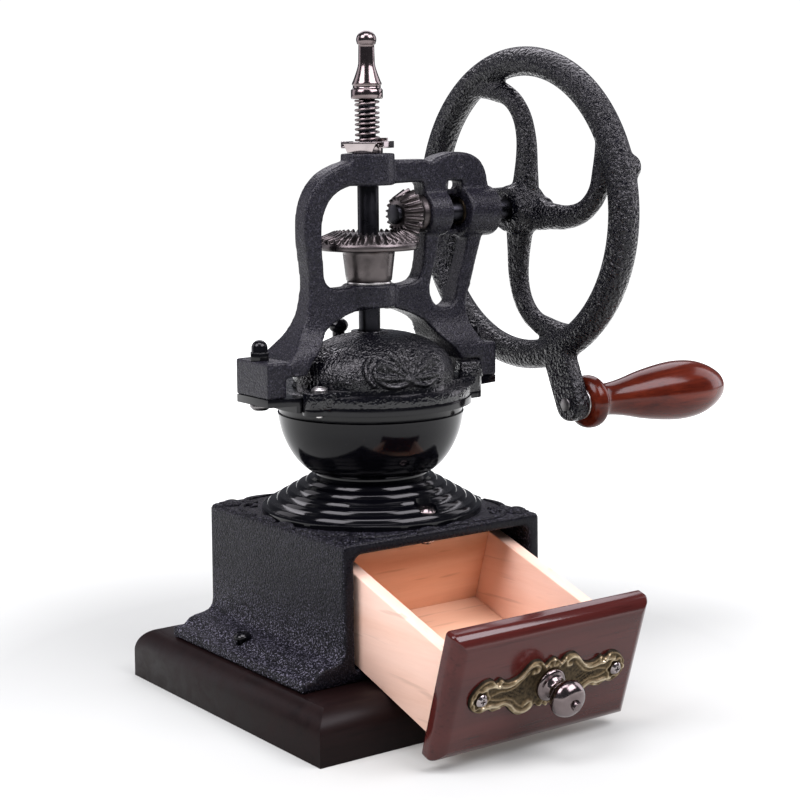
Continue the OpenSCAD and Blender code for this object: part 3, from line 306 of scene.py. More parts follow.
casting("cast_wheel", (0.0014, 0.0014, 0.003), rough=0.06, grain=620, depth=0.0014, swell=0.0018, shine=0.3,
        fine=0.2, painted_glints=0.02)
casting("cast_yoke", (0.0068, 0.0065, 0.0102), rough=0.3, grain=1100, depth=0.00025, swell=0.0004, shine=0.22,
        fine=0.4, painted_glints=0.08)
casting("cast_dome", (0.0018, 0.0018, 0.0032), rough=0.06, grain=760, depth=0.0009, swell=0.001, shine=0.42,
        fine=0.2, coat=0.08, calm_rim=True)
enamel("enamel_black", (0.0015, 0.0015, 0.0025))
enamel("gloss_black", (0.002, 0.002, 0.003))
steel("gear_steel", (0.095, 0.083, 0.083), 0.3, brushed=900, grime=0.7)
steel("shaft_steel", (0.02, 0.02, 0.024), 0.3, brushed=1200)
steel("bolt_steel", (0.2, 0.19, 0.19), 0.3)
steel("nut_zinc", (0.6, 0.58, 0.57), 0.28)
steel("bright_plate", (0.34, 0.3, 0.3), 0.13, grime=0.4)
steel("black_nickel", (0.19, 0.155, 0.155), 0.15, grime=0.6)
steel("spring_wire", (0.17, 0.14, 0.14), 0.3)
steel("burr_steel", (0.35, 0.35, 0.36), 0.3, brushed=1500)
steel("bronze_bush", (0.06, 0.045, 0.03), 0.4)
aged_bronze("plate_bronze")


# ---------- making pieces ----------

def finish_mesh(mesh, crease=35.0, dissolve=False):
    """Closes seams and poles, turns the faces outwards and shades smooth up to the crease angle."""
    bm = bmesh.new()
    bm.from_mesh(mesh)
    bmesh.ops.remove_doubles(bm, verts=bm.verts, dist=1e-6)
    if dissolve:
        bmesh.ops.dissolve_limit(bm, angle_limit=math.radians(0.6), verts=bm.verts, edges=bm.edges)
    bmesh.ops.recalc_face_normals(bm, faces=bm.faces)
    bm.to_mesh(mesh)
    bm.free()
    mesh.shade_smooth()
    mesh.set_sharp_from_angle(angle=math.radians(crease))


def put_in_scene(name, data):
    """A new object in the scene with the given mesh, lamp or camera."""
    made = bpy.data.objects.new(name, data)
    bpy.context.scene.collection.objects.link(made)
    return made


def place(name, mesh, finish, body, stands_for=()):
    """Gives a mesh its object, finish and body, and hides the frame nodes it stands for; its one material slot holds
    the finish."""
    mesh.materials.clear()
    mesh.materials.append(FINISH[finish])
    piece = put_in_scene(name, mesh)
    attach(piece, body)
    if stands_for:
        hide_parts(*stands_for)


def grid_mesh(name, grid, wrap=False, crease=35.0):
    """Mesh of a surface given as points P[i, j] in millimetres: neighbours in both directions share a face, and
    with `wrap` the last j is next to the first."""
    rows, cols = grid.shape[:2]
    i = np.arange(rows - 1)[:, None]
    j = np.arange(cols if wrap else cols - 1)[None, :]
    i2, j2 = i + 1, (j + 1) % cols
    faces = np.stack([i * cols + j, i2 * cols + j, i2 * cols + j2, i * cols + j2], -1).reshape(-1, 4)
    mesh = bpy.data.meshes.new(name)
    mesh.from_pydata((grid.reshape(-1, 3) * MM).tolist(), [], faces.tolist())
    finish_mesh(mesh, crease)
    return mesh


def join_meshes(name, meshes):
    """One mesh out of several, kept as separate shells."""
    bm = bmesh.new()
    for m in meshes:
        bm.from_mesh(m)
    out = bpy.data.meshes.new(name)
    bm.to_mesh(out)
    bm.free()
    out.shade_smooth()
    return out


def eased(corners, ease=0.4, steps=3):
    """A run of corners with each corner eased by a quadratic curve that starts and ends `ease` away from it; a
    corner's own third number goes before `ease`."""
    p = np.array([c[:2] for c in corners], float)
    e = [c[2] if len(c) > 2 else ease for c in corners]
    out = [p[0]]
    for k in range(1, len(p) - 1):
        a, b = p[k - 1] - p[k], p[k + 1] - p[k]
        la, lb = np.linalg.norm(a), np.linalg.norm(b)
        d = min(e[k], la * 0.45, lb * 0.45)
        q0, q1 = p[k] + a / la * d, p[k] + b / lb * d
        t = np.linspace(0, 1, steps + 1)[:, None]
        out.extend((1 - t) ** 2 * q0 + 2 * t * (1 - t) * p[k] + t * t * q1)
    out.append(p[-1])
    return np.array(out)


def flowing(points, per=6):
    """Smooth run through points: on each stretch a cubic whose slopes are half the neighbours' difference."""
    p = np.array(points, float)
    q = np.vstack([2 * p[0] - p[1], p, 2 * p[-1] - p[-2]])
    t = (np.arange(per) / per)[None, :, None]
    a, b, c, d = (q[k:len(q) - 3 + k][:, None] for k in range(4))
    run = 0.5 * (2 * b + (c - a) * t + (2 * a - 5 * b + 4 * c - d) * t ** 2 + (3 * b - a - 3 * c + d) * t ** 3)
    return np.vstack([run.reshape(-1, p.shape[1]), p[-1:]])


def turned(name, profile, axis, at, sides, crease=35.0):
    """Surface of revolution: (r, h) goes to (r cos a, r sin a, h) about the axis through `at`."""
    p = np.asarray(profile, float)
    a = np.linspace(0, math.tau, sides, endpoint=False)[None, :]
    r, h = p[:, :1], p[:, 1:2] + 0 * a
    u, v = r * np.cos(a), r * np.sin(a)
    grid = {"x": (h, u, v), "-y": (u, -h, v)}[axis]
    return grid_mesh(name, np.stack(grid, -1) + np.array(at, float), wrap=True, crease=crease)


def hung(points):
    """Points of the level, shut drawer taken to its open place: out along it, then down about the lip by the droop."""
    q = points - np.array([0, PULL, 0])
    c, s = math.cos(DROOP), math.sin(DROOP)
    return np.stack([q[..., 0], c * q[..., 1] - s * q[..., 2], s * q[..., 1] + c * q[..., 2]], -1) + LIP


def carried(path, up, width, height, sides):
    """Oval section carried along a path: P + w cos a (T x up) + h sin a up, with w and h given at each point."""
    path = np.asarray(path, float)
    t = np.gradient(path, axis=0)
    t /= np.linalg.norm(t, axis=1)[:, None] + 1e-12
    up = np.broadcast_to(np.asarray(up, float), path.shape)
    side = np.cross(t, up)
    side /= np.linalg.norm(side, axis=1)[:, None] + 1e-12
    lift = np.cross(side, t)
    a = np.linspace(0, math.tau, sides, endpoint=False)[None, :, None]
    w, h = (np.broadcast_to(np.asarray(v, float), len(path))[:, None, None] for v in (width, height))
    return path[:, None] + w * np.cos(a) * side[:, None] + h * np.sin(a) * lift[:, None]


def ends_closed(grid):
    """The same run of rings with a point at each end, so that the tube is closed."""
    first, last = grid[:1].mean(1, keepdims=True), grid[-1:].mean(1, keepdims=True)
    return np.concatenate([np.repeat(first, grid.shape[1], 1), grid, np.repeat(last, grid.shape[1], 1)])


def rounded_ring(hw, hh, r, per=7):
    """Rectangle with round corners: four quarter circles one after the other, joined by the straight sides."""
    a = np.linspace(0, math.pi / 2, per)
    ring = []
    for k, (sx, sz) in enumerate(((1, 1), (-1, 1), (-1, -1), (1, -1))):
        b = a + k * math.pi / 2
        ring.append(np.stack([sx * (hw - r) + r * np.cos(b), sz * (hh - r) + r * np.sin(b)], -1))
    return np.vstack(ring)


def near(points, path):
    """Distance in millimetres from each point to the nearest point of a flowing path."""
    line = flowing(path, 14)
    return np.sqrt(((points[..., None, :] - line) ** 2).sum(-1).min(-1))


def ridge(points, path, amount, width):
    """Rounded ridge along a path: amount * exp(-(distance / width)^2)."""
    return amount * np.exp(-(near(points, path) / width) ** 2)


def evaluated(piece):
    """The piece's mesh with its modifiers worked in."""
    deps = bpy.context.evaluated_depsgraph_get()
    mesh = bpy.data.meshes.new_from_object(piece.evaluated_get(deps))
    bpy.data.objects.remove(piece)
    return mesh


def node_copy(node):
    """Copy of a frame node's mesh."""
    mesh = nodes[node].data.copy()
    mesh.name = node + "_copy"
    return mesh


def trimmed(node, name, finish, edge, crease=32.0):
    """Copy of a frame node with its sharp edges eased by `edge` millimetres and its round faces shaded smooth."""
    mesh = node_copy(node)
    finish_mesh(mesh, crease, dissolve=edge > 0)
    if edge > 0:
        work = put_in_scene("work", mesh)
        bevel = work.modifiers.new("edge", "BEVEL")
        bevel.width, bevel.segments, bevel.limit_method = edge * MM, 2 if edge < 0.75 else 4, "ANGLE"
        bevel.angle_limit = math.radians(crease)
        mesh = evaluated(work)
        mesh.shade_smooth()
        mesh.set_sharp_from_angle(angle=math.radians(crease + 8))
    place(name, mesh, finish, nodes[node]["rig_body"], (node,))


def softened(mesh, cell, passes):
    """The mesh rebuilt in cells of one size, then each point drawn towards the mean of its neighbours a few times."""
    work = put_in_scene("work", mesh)
    cells = work.modifiers.new("cells", "REMESH")
    cells.mode, cells.voxel_size = "VOXEL", cell * MM
    calm = work.modifiers.new("calm", "SMOOTH")
    calm.factor, calm.iterations = 0.5, passes
    mesh = evaluated(work)
    mesh.shade_smooth()
    return mesh


def sand_cast(node, name, finish, cell, passes):
    """Copy of a frame node with the soft edges of a casting."""
    mesh = node_copy(node)
    finish_mesh(mesh)
    place(name, softened(mesh, cell, passes), finish, nodes[node]["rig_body"], (node,))


# ---------- drawer front ----------

# (inset from the outline, height over the back, easing of the corner)
PANEL_EDGE = [(26, 0), (0, 0, 0.9), (0, 5.2, 1.2), (1.9, 8.1, 1.6), (5.4, 10, 1.3), (26, 10)]


def front_panel():
    """Drawer front as one rounded outline drawn in and out: a flat back, a straight edge, a bevel all round, a flat
    face. The corner radius shrinks with the inset."""
    run = eased(PANEL_EDGE, steps=5)
    rings = np.stack([rounded_ring(PANEL_HW - i, PANEL_HH - i, max(1.8 - i * 0.6, 0.4)) for i, _ in run])
    grid = np.stack([rings[..., 0], -run[:, 1][:, None] + 0 * rings[..., 0], rings[..., 1] + KNOB_Z], -1)
    mesh = grid_mesh("drawer_panel", hung(ends_closed(grid)), wrap=True, crease=50)
    place("drawer_panel", mesh, "wood_front", "drawer", ("drawer_front",))


# Right half of the plate as (x, z) from the knob: over the top to the tip, then back below
PLATE_HALF = [
    (0, 13.4), (2.6, 12.2), (4.6, 10.4), (7.4, 13.2), (11.8, 13.6), (15.4, 11), (18, 8), (22, 6.4), (26, 6.6),
    (29, 8.6), (31.6, 7.2), (34.4, 9.2), (38.2, 8.8), (42, 6.2), (44.8, 2.2), (44.6, -2.4), (41.8, -6), (37.6, -7.6),
    (33.8, -6.4), (31, -8.4), (27, -7.4), (23.4, -7.2), (20, -10.4), (15.6, -13.4), (10.4, -12.6), (7, -9.6),
    (4.4, -11.4), (2, -11), (0, -11.8),
]
# (height, width, path) of each ridge on that half: two long scrolls, two veins, the rest short leaf lobes
PLATE_RIDGES = (
    (1.0, 0.85, [(37.5, 5.4), (33, 5.4), (29, 4.4), (25, 3.6), (21, 4.4), (17.4, 7.4), (14, 10.4), (10.6, 11.4),
                 (8, 9.8), (8.6, 7.6), (10.8, 7.6)]),
    (1.0, 0.85, [(37, -5.2), (33, -4.4), (29, -5), (25, -4.6), (21.4, -6.2), (17.6, -10), (13.4, -11.4),
                 (9.8, -10.2), (8.8, -7.9), (10.6, -6.7), (12.6, -7.9)]),
    (0.55, 0.55, [(33, 0.8), (28.6, 1.8), (24, 1.4), (20, 2.6), (16.6, 5.4), (13.6, 8.2)]),
    (0.55, 0.55, [(33, -1.2), (28.6, -2.4), (24, -2.6), (20, -4.2), (16.8, -7.2), (13.4, -9.2)]),
    (0.7, 0.8, [(28.6, 6.8), (30.4, 4.6), (33.6, 7.4)]),
    (0.6, 0.8, [(27.6, -6.2), (30.6, -5.8), (33, -5.2)]),
    (0.8, 0.9, [(0, 8.6), (0, 12.4)]),
    (0.8, 0.8, [(1.6, 8.4), (3.4, 10.4)]),
    (0.8, 0.8, [(3.6, 7.8), (6.4, 11.4)]),
    (0.7, 0.8, [(0, -8.6), (0, -11)]),
    (0.7, 0.7, [(2.2, -8.6), (3.6, -10)]),
)
PLATE_T, PLATE_COLS, PLATE_ROWS = 1.25, 361, 73
# Height, place and width of the rolled edge and of the rosette; place and height of the level spots
ROLL_H, ROLL_IN, ROLL_W = 0.55, 1.0, 0.5
PETAL_H, PETAL_R, PETAL_SWING, PETAL_W, PETALS = 0.75, 4.4, 0.5, 0.6, 6
SCREW_AT, SCREW_R, UNDER_SCREW = 39, 3.3, 1.55
KNOB_FOOT_R, UNDER_KNOB = 7.4, 1.5
# Depth and pitch of the pits, and the middle and half size of the field they fill
PIT_H, PIT_PITCH, FIELD_AT, FIELD_HALF = 0.35, 3.4, (21, -0.6), (6, 2.6)


def scroll_plate():
    """Stamped plate behind the knob: height over its outline is a rolled edge plus ridges along scroll curves, leaf
    lobes over and under the knob, a rosette of six petals round each screw, and small pits in the open field; it is
    level under the screws and the knob. Its relief attribute is that height, scaled to 0..1."""
    half = flowing(PLATE_HALF, 3)
    tip = int(np.argmax(half[:, 0]))
    x = half[tip, 0] * np.sin(np.linspace(-1, 1, PLATE_COLS) * math.pi / 2)
    top = np.interp(np.abs(x), half[:tip + 1, 0], half[:tip + 1, 1])
    low = np.interp(np.abs(x), half[tip:, 0][::-1], half[tip:, 1][::-1])
    t = np.linspace(0, 1, PLATE_ROWS)[:, None]
    z = low + (top - low) * t
    x_all = x + 0 * z
    across = np.abs(x_all)
    q = np.stack([across, z], -1)
    edge = np.minimum(np.minimum(t, 1 - t) * (top - low), half[tip, 0] - np.abs(x) + 0.02)
    h = PLATE_T * (1 - np.exp(-edge / 0.35)) + ROLL_H * np.exp(-((edge - ROLL_IN) / ROLL_W) ** 2)
    for amount, width, path in PLATE_RIDGES:
        h += ridge(q, path, amount, width)
    out = np.hypot(across - SCREW_AT, z)
    petals = np.cos(PETALS * np.arctan2(z, across - SCREW_AT))
    h += PETAL_H * np.exp(-((out - PETAL_R - PETAL_SWING * petals) / PETAL_W) ** 2)
    field = np.exp(-((across - FIELD_AT[0]) / FIELD_HALF[0]) ** 4 - ((z - FIELD_AT[1]) / FIELD_HALF[1]) ** 4)
    pits = np.cos(across * PIT_PITCH) * np.cos(z * PIT_PITCH + across * PIT_PITCH / 2) > 0.55
    h -= PIT_H * field * pits
    h = np.where(out < SCREW_R, np.minimum(h, UNDER_SCREW), h)
    open_part = np.clip((np.hypot(x_all, z) - KNOB_FOOT_R) / 1.2, 0, 1)
    h = h * open_part + UNDER_KNOB * (1 - open_part)
    h[0] = h[-1] = h[:, 0] = h[:, -1] = 0
    mesh = grid_mesh("scroll_plate", hung(np.stack([x_all, -PANEL_T - h, z + KNOB_Z], -1)), crease=180)
    co = np.empty(len(mesh.vertices) * 3)
    mesh.vertices.foreach_get("co", co)
    level_y = (co.reshape(-1, 3) / MM - LIP) @ np.array([0, math.cos(DROOP), math.sin(DROOP)]) + PULL
    relief = np.clip((-level_y - PANEL_T - 0.9) / 1.5, 0, 1).astype(np.float32)
    mesh.attributes.new("relief", "FLOAT", "POINT").data.foreach_set("value", relief)
    place("scroll_plate", mesh, "plate_bronze", "drawer", ("drawer_backplate",))


# ---------- relief on the lid, the box and the yoke ----------

# Lengths up the dome from its foot that the ornament covers, and the half angle it covers round it
FAN_RUN, FAN_HALF_TURN, FAN_FACES = (0.5, 31), 0.62, math.radians(8)
FAN_SINK, FAN_ROWS, FAN_COLS = 0.35, 120, 240
# Leaves: the root, degrees between them, length of the middle one and how much shorter each next one is
FAN_ROOT, LEAF_STEP, LEAF_LONG, LEAF_LESS = np.array([0.0, 6.5]), 27, 17.5, 1.3
# (stretch of the leaf's points, height, width) from its stalk to its tip
LEAF_PARTS = ((slice(0, 9), 1.5, 0.9), (slice(7, 13), 2.4, 1.5), (slice(11, 17), 2.9, 2.0))
FAN_SCROLLS = (
    [(2.6, 4.6), (7, 3.6), (12, 4.4), (16.4, 8), (16.6, 12.2), (13.4, 13.4), (12, 11)],
    [(17.6, 4.6), (20.4, 9), (20.4, 14), (18, 18)],
)


def dome_run(n):
    """Outline of the dome's lower part as n points (r, z) at equal steps of length, with the length up to each point
    and the outward normal there."""
    a = np.linspace(0, math.pi / 2, 200)
    r = np.concatenate([[DOME_R], DOME_R * np.maximum(np.cos(a), 0) ** 0.8])
    z = np.concatenate([[DOME_Z + 0.5], DOME_Z + DOME_WALL + (DOME_TOP - DOME_WALL) * np.sin(a)])
    length = np.concatenate([[0], np.cumsum(np.hypot(np.diff(r), np.diff(z)))])
    at = np.linspace(*FAN_RUN, n)
    p = np.stack([np.interp(at, length, r), np.interp(at, length, z)], -1)
    d = np.gradient(p, axis=0)
    d /= np.linalg.norm(d, axis=1)[:, None]
    return at, p, np.stack([d[:, 1], -d[:, 0]], -1)


def dome_ornament():
    """Cast leaf fan on the front of the dome: seven leaves that widen from one round root, each with a groove down
    its middle, and two scrolls at each side. The relief is the greatest of these ridges, stands out along the dome's
    normal and is sunk a little, so that only the ridges show."""
    t, p, n = dome_run(FAN_ROWS)
    turn = np.linspace(-FAN_HALF_TURN, FAN_HALF_TURN, FAN_COLS)
    s = np.sin(turn)[None, :] * DOME_R * (p[:, :1] / DOME_R) ** 0.5
    q = np.stack([s, t[:, None] + 0 * s], -1)
    h = np.zeros(s.shape)
    for k in range(-3, 4):
        lean = math.radians(90 - LEAF_STEP * k)
        way = np.array([math.cos(lean), math.sin(lean)])
        reach = LEAF_LONG - LEAF_LESS * abs(k)
        tip = FAN_ROOT + way * reach + np.array([0.7 * k, -0.2 * abs(k)])
        leaf = flowing([FAN_ROOT + way * 3.6, FAN_ROOT + way * reach * 0.6, tip], 8)
        for part, amount, width in LEAF_PARTS:
            h = np.maximum(h, ridge(q, leaf[part], amount, width))
        h -= 0.9 * np.clip(h, 0, 1) * np.exp(-(near(q, leaf[6:14]) / 0.45) ** 2)
    side = np.stack([np.abs(q[..., 0]), q[..., 1]], -1)
    for path in FAN_SCROLLS:
        h = np.maximum(h, ridge(side, path, 2.1, 1.3))
    h = np.maximum(h, 2.4 * np.exp(-(np.hypot(q[..., 0], q[..., 1] - FAN_ROOT[1]) / 2.7) ** 2))
    off = h - FAN_SINK
    face = turn[None, :] - FAN_FACES
    r = p[:, :1] + n[:, :1] * off
    z = p[:, 1:] + n[:, 1:] * off
    grid = np.stack([r * np.sin(face), -r * np.cos(face), z], -1)
    place("dome_ornament", grid_mesh("dome_ornament", grid, crease=180), "cast_dome", "stand")


# (thickness, path) of the curls on one corner of the box top: two scrolls, three leaves, two short runs by the edges
CURLS = (
    (1.0, [(56, 20), (55.4, 30), (53, 38.5), (48.5, 43), (44.4, 42), (44.6, 38.4), (48, 38)]),
    (1.0, [(20, 57), (30, 57), (38.5, 55), (43.6, 50.6), (43, 46.6), (39.4, 46.4), (38.6, 49.6)]),
    (1.3, [(46, 47), (50.5, 51.5), (55, 56.4)]),
    (1.3, [(50, 45.6), (54, 48.4), (56.4, 52)]),
    (1.3, [(45.6, 50.6), (48.6, 54.6), (51.6, 57.4)]),
    (1.0, [(56, 2), (55, 9), (56.6, 16)]),
    (1.0, [(2, 58), (9, 57), (16, 58.4)]),
)


def box_scrolls():
    """Raised scrolls on the four corners of the box top and short curls along its edges: flat oval cords, half sunk,
    thick in the middle and thin at both ends as half a sine wave."""
    meshes = []
    for mirror in ((1, 1), (1, -1), (-1, 1), (-1, -1)):
        for thick, path in CURLS:
            line = flowing(path, 7) * mirror
            line = np.column_stack([line, np.full(len(line), BOX_TOP - 0.1)])
            swell = np.sin(np.linspace(0.25, math.pi - 0.25, len(line)))
            tube = carried(line, (0, 0, 1), (0.6 + 1.0 * swell) * thick, 0.5 + 1.2 * swell, 10)
            meshes.append(grid_mesh("curl", ends_closed(tube), wrap=True, crease=180))
    place("box_scrolls", join_meshes("box_scrolls", meshes), "cast_housing", "stand")


MARKS_AT = ((-53.3, -14.9, 165.3), (-21.0, -5.4, 256.3), (53.5, -5.4, 260.9))


def cast_marks():
    """Small round ejector marks on the front of the yoke: a shallow dish with a faint rim."""
    dish = eased([(0.01, 0.05), (1.7, 0.08, 0.3), (2.1, 0.5, 0.2), (2.6, 0.5, 0.2), (2.9, -0.3)], 0.3, 3)
    marks = [turned("mark", dish, "-y", at, 40, 60) for at in MARKS_AT]
    place("cast_marks", join_meshes("cast_marks", marks), "cast_yoke", "stand")


# ---------- spring and wheel ----------

WIRE_R, COIL_R, COIL_TURNS = 0.62, 5.6, 8.6


def coil_spring():
    """Wound spring over the thread: a round wire carried along the helix (R cos a, R sin a, z), where z rises evenly
    but for the flat end turns."""
    z = [v[2] for v in nodes["spindle_spring"].bound_box]
    low, high = min(z) / MM + WIRE_R, max(z) / MM - WIRE_R
    t = np.linspace(0, 1, 640)
    a = math.tau * COIL_TURNS * t
    rise = np.clip((t - 0.06) / 0.88, 0, 1)
    height = low + (high - low) * (rise + 0.02 * np.sin(math.tau * rise))
    line = np.stack([COIL_R * np.cos(a), COIL_R * np.sin(a), height], -1)
    grid = ends_closed(carried(line, (0, 0, 1), WIRE_R, WIRE_R, 10))
    place("coil_spring", grid_mesh("coil_spring", grid, wrap=True), "spring_wire", "spindle_set", ("spindle_spring",))


# Middle line of a spoke as (radius, degrees round the axle), and its half width and half depth by radius
SPOKE_LINE = [(6, 26), (12, 23), (20, 20), (34, 17), (46, 12), (55, 5.5), (61, -1), (66, -8), (75, -16)]
SPOKE_WIDE = ([6, 14, 24, 38, 52, 60, 66, 75], [10, 8.6, 7, 6.1, 5.4, 5.4, 6.2, 9])
SPOKE_DEEP = ([6, 20, 40, 60, 75], [5.6, 5.2, 4.6, 4.6, 5.6])
SPOKE_FIRST = 169
# (radius, x) of the hub and of the lump on the rim; (inset towards the handle's hole, x) of the arm
HUB = [(5.0, 87.2), (11.6, 87.2, 1.4), (13.2, 94, 3), (13.2, 103, 3), (12, 107, 1.2), (5.0, 107)]
LUMP = [(0.01, 96), (6.4, 96, 1), (6.4, 107.6, 2.4), (0.01, 108.4)]
LUMP_TURN = math.radians(73.5)
ARM_LEVELS = [(6, -4.4), (0, -4.4, 1.4), (0, 4.4, 1.4), (6, 4.4)]
ARM_HW, ARM_HL, ARM_R, ARM_INSET_ALL, ARM_BACK = 9.1, 23, 9.0, 9.2, 2.5


def spoke(turn):
    """Swan-neck spoke: an oval section carried along a bent line from hub to rim, thick at both ends."""
    line = flowing(SPOKE_LINE, 6)
    a = np.radians(line[:, 1])
    y, z = line[:, 0] * np.sin(a), -line[:, 0] * np.cos(a)
    c, s = math.cos(turn), math.sin(turn)
    path = np.stack([np.full(len(y), WHEEL_X), c * y - s * z, s * y + c * z + AXLE_Z], -1)
    wide, deep = np.interp(line[:, 0], *SPOKE_WIDE), np.interp(line[:, 0], *SPOKE_DEEP)
    return grid_mesh("spoke", ends_closed(carried(path, (1, 0, 0), wide, deep, 20)), wrap=True)


def wheel_casting():
    """Cast wheel: round rim, four swan-neck spokes, turned hub, flat arm for the handle and one lump on the rim, all
    made one by the casting's softening."""
    axle = (0, 0, AXLE_Z)
    mid, tube_r = WHEEL_R - RIM_R, RIM_R + 0.25
    a = np.linspace(0, math.tau, 49)[:-1]
    tube = np.stack([mid + tube_r * np.cos(a), WHEEL_X + tube_r * np.sin(a)], -1)
    hub = eased(HUB, 0.5, 5)
    parts = [turned("rim", np.vstack([tube, tube[:1]]), "x", axle, 192)]
    parts += [spoke(math.radians(SPOKE_FIRST + 90 * k)) for k in range(4)]
    parts.append(turned("hub", np.vstack([hub, hub[:1]]), "x", axle, 96))
    c, s = math.cos(CRANK_TURN), math.sin(CRANK_TURN)
    ring = rounded_ring(ARM_HW, ARM_HL, ARM_R, 12)
    ring[:, 1] -= CRANK_R + ARM_HW - ARM_HL
    levels = eased(ARM_LEVELS, 1.2, 4)
    shares = levels[:, 0] / ARM_INSET_ALL
    arm = np.stack([ring * (1 - share) + np.array([0, -CRANK_R]) * share for share in shares])
    x = WHEEL_X - ARM_BACK + levels[:, 1][:, None] + 0 * arm[..., 0]
    arm = np.stack([x, c * arm[..., 0] + s * arm[..., 1], -s * arm[..., 0] + c * arm[..., 1] + AXLE_Z], -1)
    parts.append(grid_mesh("arm", ends_closed(arm), wrap=True))
    out = mid + 2.2
    lump_at = (0, -out * math.sin(LUMP_TURN), AXLE_Z + out * math.cos(LUMP_TURN))
    parts.append(turned("lump", eased(LUMP, 1, 5), "x", lump_at, 40))
    mesh = softened(join_meshes("wheel_shell", parts), 0.9, 12)
    place("wheel_casting", mesh, "cast_wheel", "crank", ("wheel",))


# ---------- all the pieces ----------

trimmed("base_board", "base_plank", "wood_base", 0.7, 30)
sand_cast("drawer_housing", "housing_casting", "cast_housing", 1.1, 5)
sand_cast("yoke", "yoke_casting", "cast_yoke", 0.8, 10)
wheel_casting()
front_panel()
scroll_plate()
dome_ornament()
box_scrolls()
cast_marks()
coil_spring()

# Frame nodes shown by their own shape: node, finish, slot, easing of the edges in millimetres
FITTED = (
    ("housing_screws", "gloss_black", "screw_black", 0.25),
    ("pedestal_screws", "black_nickel", "screw_black", 0.3),
    ("pedestal_nuts", "nut_zinc", "nut_zinc", 0.2),
    ("outer_burr", "burr_steel", "burr_steel", 0.0),
    ("lid_screws", "nut_zinc", "nut_zinc", 0.25),
    ("yoke_bolts", "bolt_steel", "bolt_steel", 0.25),
    ("acorn_nuts", "gloss_black", "nut_black", 0.35),
    ("axle_bushings", "bronze_bush", "bronze_bush", 0.2),
    ("spindle_bushings", "bronze_bush", "bronze_bush", 0.2),
    ("thrust_washer", "nut_zinc", "nut_zinc", 0.15),
    ("spindle", "shaft_steel", "shaft_steel", 0.15),
    ("ring_gear", "gear_steel", "gear_steel", 0.0),
    ("ring_gear_pin", "bolt_steel", "bolt_steel", 0.15),
    ("inner_burr", "burr_steel", "burr_steel", 0.0),
    ("burr_nut", "nut_zinc", "nut_zinc", 0.2),
    ("adjusting_plate", "bright_plate", "bright_plate", 0.25),
    ("crank_axle", "shaft_steel", "shaft_steel", 0.3),
    ("pinion", "gear_steel", "gear_steel", 0.0),
    ("pinion_pin", "bolt_steel", "bolt_steel", 0.1),
    ("wheel_washer", "shaft_steel", "shaft_steel", 0.2),
    ("wheel_nut", "gloss_black", "nut_black", 0.4),
    ("handle_bolt", "bolt_steel", "bolt_steel", 0.3),
    ("grip_washer", "nut_zinc", "nut_zinc", 0.2),
    ("backplate_screws", "bright_plate", "bright_plate", 0.2),
    ("hopper_body", "enamel_black", "enamel_black", 0.85),
    ("hopper_lid", "cast_dome", "enamel_lid", 0.6),
    ("hopper_door", "cast_dome", "enamel_lid", 0.4),
    ("door_knob", "gloss_black", "nut_black", 0.0),
    ("finial", "black_nickel", "bright_plate", 0.0),
    ("grip", "wood_grip", "wood_grip", 0.0),
    ("drawer_sides", "wood_drawer", "wood_drawer", 0.5),
    ("drawer_back", "wood_drawer_cross", "wood_drawer", 0.4),
    ("drawer_bottom", "wood_drawer_bottom", "wood_drawer_bottom", 0.2),
    ("drawer_knob", "black_nickel", "knob_metal", 0.0),
    ("knob_bolt", "black_nickel", "knob_metal", 0.2),
)
for node, finish, slot, edge in FITTED:
    trimmed(node, node + "_fitted", finish, edge)


# ---------- studio ----------

FLOOR_R = 1.6
AIM = np.array([0, 0, 0.16])
# Where the lens stands round the object, from straight in front, in degrees
LENS_AROUND = -35.2
# Lamps: name, degrees round from the lens, degrees up, distance, size, watts
LAMPS = (
    ("box_right", 58, 43, 1.5, (1.15, 0.75), 25),
    ("box_left", -50, 43, 1.5, (0.85, 0.75), 19),
    ("side_right", 118, 16, 1.5, (0.7, 1.1), 6),
    ("side_left", -112, 16, 1.5, (0.7, 1.1), 4),
    ("box_top", 0, 72, 1.5, (1.0, 0.5), 12),
    ("box_back", 180, 40, 1.8, (1.6, 1.0), 12),
)
LAMP_COLOR = (0.97, 0.93, 1.0)
AIR_SEEN, AIR_SHEDS = ((1, 1, 1, 1), 1.05), ((0.86, 0.88, 1.0, 1), 0.12)


def studio_floor():
    """Round pale floor that glows more the further it is from the object, so that it runs into the white air."""
    a = np.linspace(0, math.tau, 97)[:-1]
    sheet = np.stack([FLOOR_R * np.cos(a), FLOOR_R * np.sin(a), 0 * a], -1)
    mesh = bpy.data.meshes.new("studio_floor")
    mesh.from_pydata(sheet.tolist(), [], [list(range(len(sheet)))])
    floor = put_in_scene("studio_floor", mesh)
    paint = Finish("studio_paint", (0.5, 0.52, 0.49), 0.8, spec=0.1)
    away = paint.tree.nodes.new("ShaderNodeVectorMath")
    away.operation = "LENGTH"
    paint.plug(away.inputs[0], paint.coord)
    paint.use("Emission Color", (1, 1, 1, 1))
    paint.use("Emission Strength", paint.map(away.outputs["Value"], 0.2, 0.62, 0.1, 1.0))
    mesh.materials.append(paint.mat)


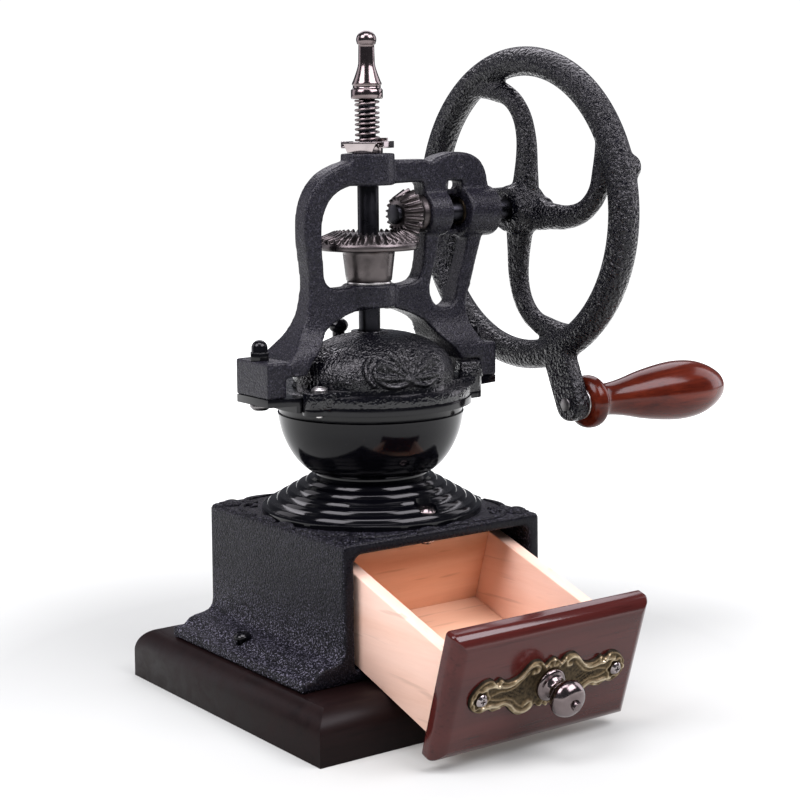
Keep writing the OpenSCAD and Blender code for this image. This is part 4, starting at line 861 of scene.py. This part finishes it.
def studio_lamps():
    """Two soft boxes left and right of the lens with a dark gap between them, dim side boxes, one overhead and one
    behind."""
    for name, around, up, far, size, watts in LAMPS:
        data = bpy.data.lights.new(name, "AREA")
        data.shape, data.size, data.size_y, data.energy = "RECTANGLE", *size, watts
        data.color = LAMP_COLOR
        lamp = put_in_scene(name, data)
        b = math.radians(around + LENS_AROUND)
        level = far * math.cos(math.radians(up))
        at = np.array([level * math.sin(b), -level * math.cos(b), far * math.sin(math.radians(up))])
        lamp.location = at + AIM
        lamp.rotation_euler = Vector(at).to_track_quat("Z", "Y").to_euler()


def studio_air():
    """Air that is white to the lens and dim as a light."""
    world = bpy.data.worlds.new("studio_air")
    bpy.context.scene.world = world
    world.use_nodes = True
    t = world.node_tree
    seen, sheds = t.nodes["Background"], t.nodes.new("ShaderNodeBackground")
    for air, (color, strength) in ((seen, AIR_SEEN), (sheds, AIR_SHEDS)):
        air.inputs["Color"].default_value = color
        air.inputs["Strength"].default_value = strength
    path = t.nodes.new("ShaderNodeLightPath")
    pick = t.nodes.new("ShaderNodeMixShader")
    t.links.new(path.outputs["Is Camera Ray"], pick.inputs[0])
    t.links.new(sheds.outputs[0], pick.inputs[1])
    t.links.new(seen.outputs[0], pick.inputs[2])
    t.links.new(pick.outputs[0], t.nodes["World Output"].inputs["Surface"])
    bpy.context.scene.view_settings.view_transform = "Standard"


# The lens, in units of a view 800 wide: its length, where its axis meets the view, its way and its place in metres
VIEW, LENS_LENGTH, AXIS_X, AXIS_Y = 800, 1812.5, 369.02, 274.51
SENSOR = 36
LENS_TURN = (-35.2353, 4.7854, 0.6824)
LENS_AT = (-0.5171, -0.7321, 0.2823)


def camera():
    """Long lens low on the left front, shifted so that the uprights stand straight."""
    data = bpy.data.cameras.new("camera")
    data.lens, data.sensor_width, data.sensor_fit = LENS_LENGTH / VIEW * SENSOR, SENSOR, "HORIZONTAL"
    data.shift_x, data.shift_y = (VIEW / 2 - AXIS_X) / VIEW, (AXIS_Y - VIEW / 2) / VIEW
    cam = put_in_scene("camera", data)
    az, el, roll = (math.radians(v) for v in LENS_TURN)
    back = Vector((math.sin(az) * math.cos(el), -math.cos(az) * math.cos(el), math.sin(el)))
    right = Vector((math.cos(az), math.sin(az), 0))
    turn = Matrix((right, back.cross(right), back)).transposed() @ Matrix.Rotation(-roll, 3, "Z")
    cam.matrix_world = Matrix.Translation(LENS_AT) @ turn.to_4x4()
    bpy.context.scene.camera = cam


studio_floor()
studio_lamps()
studio_air()
camera()
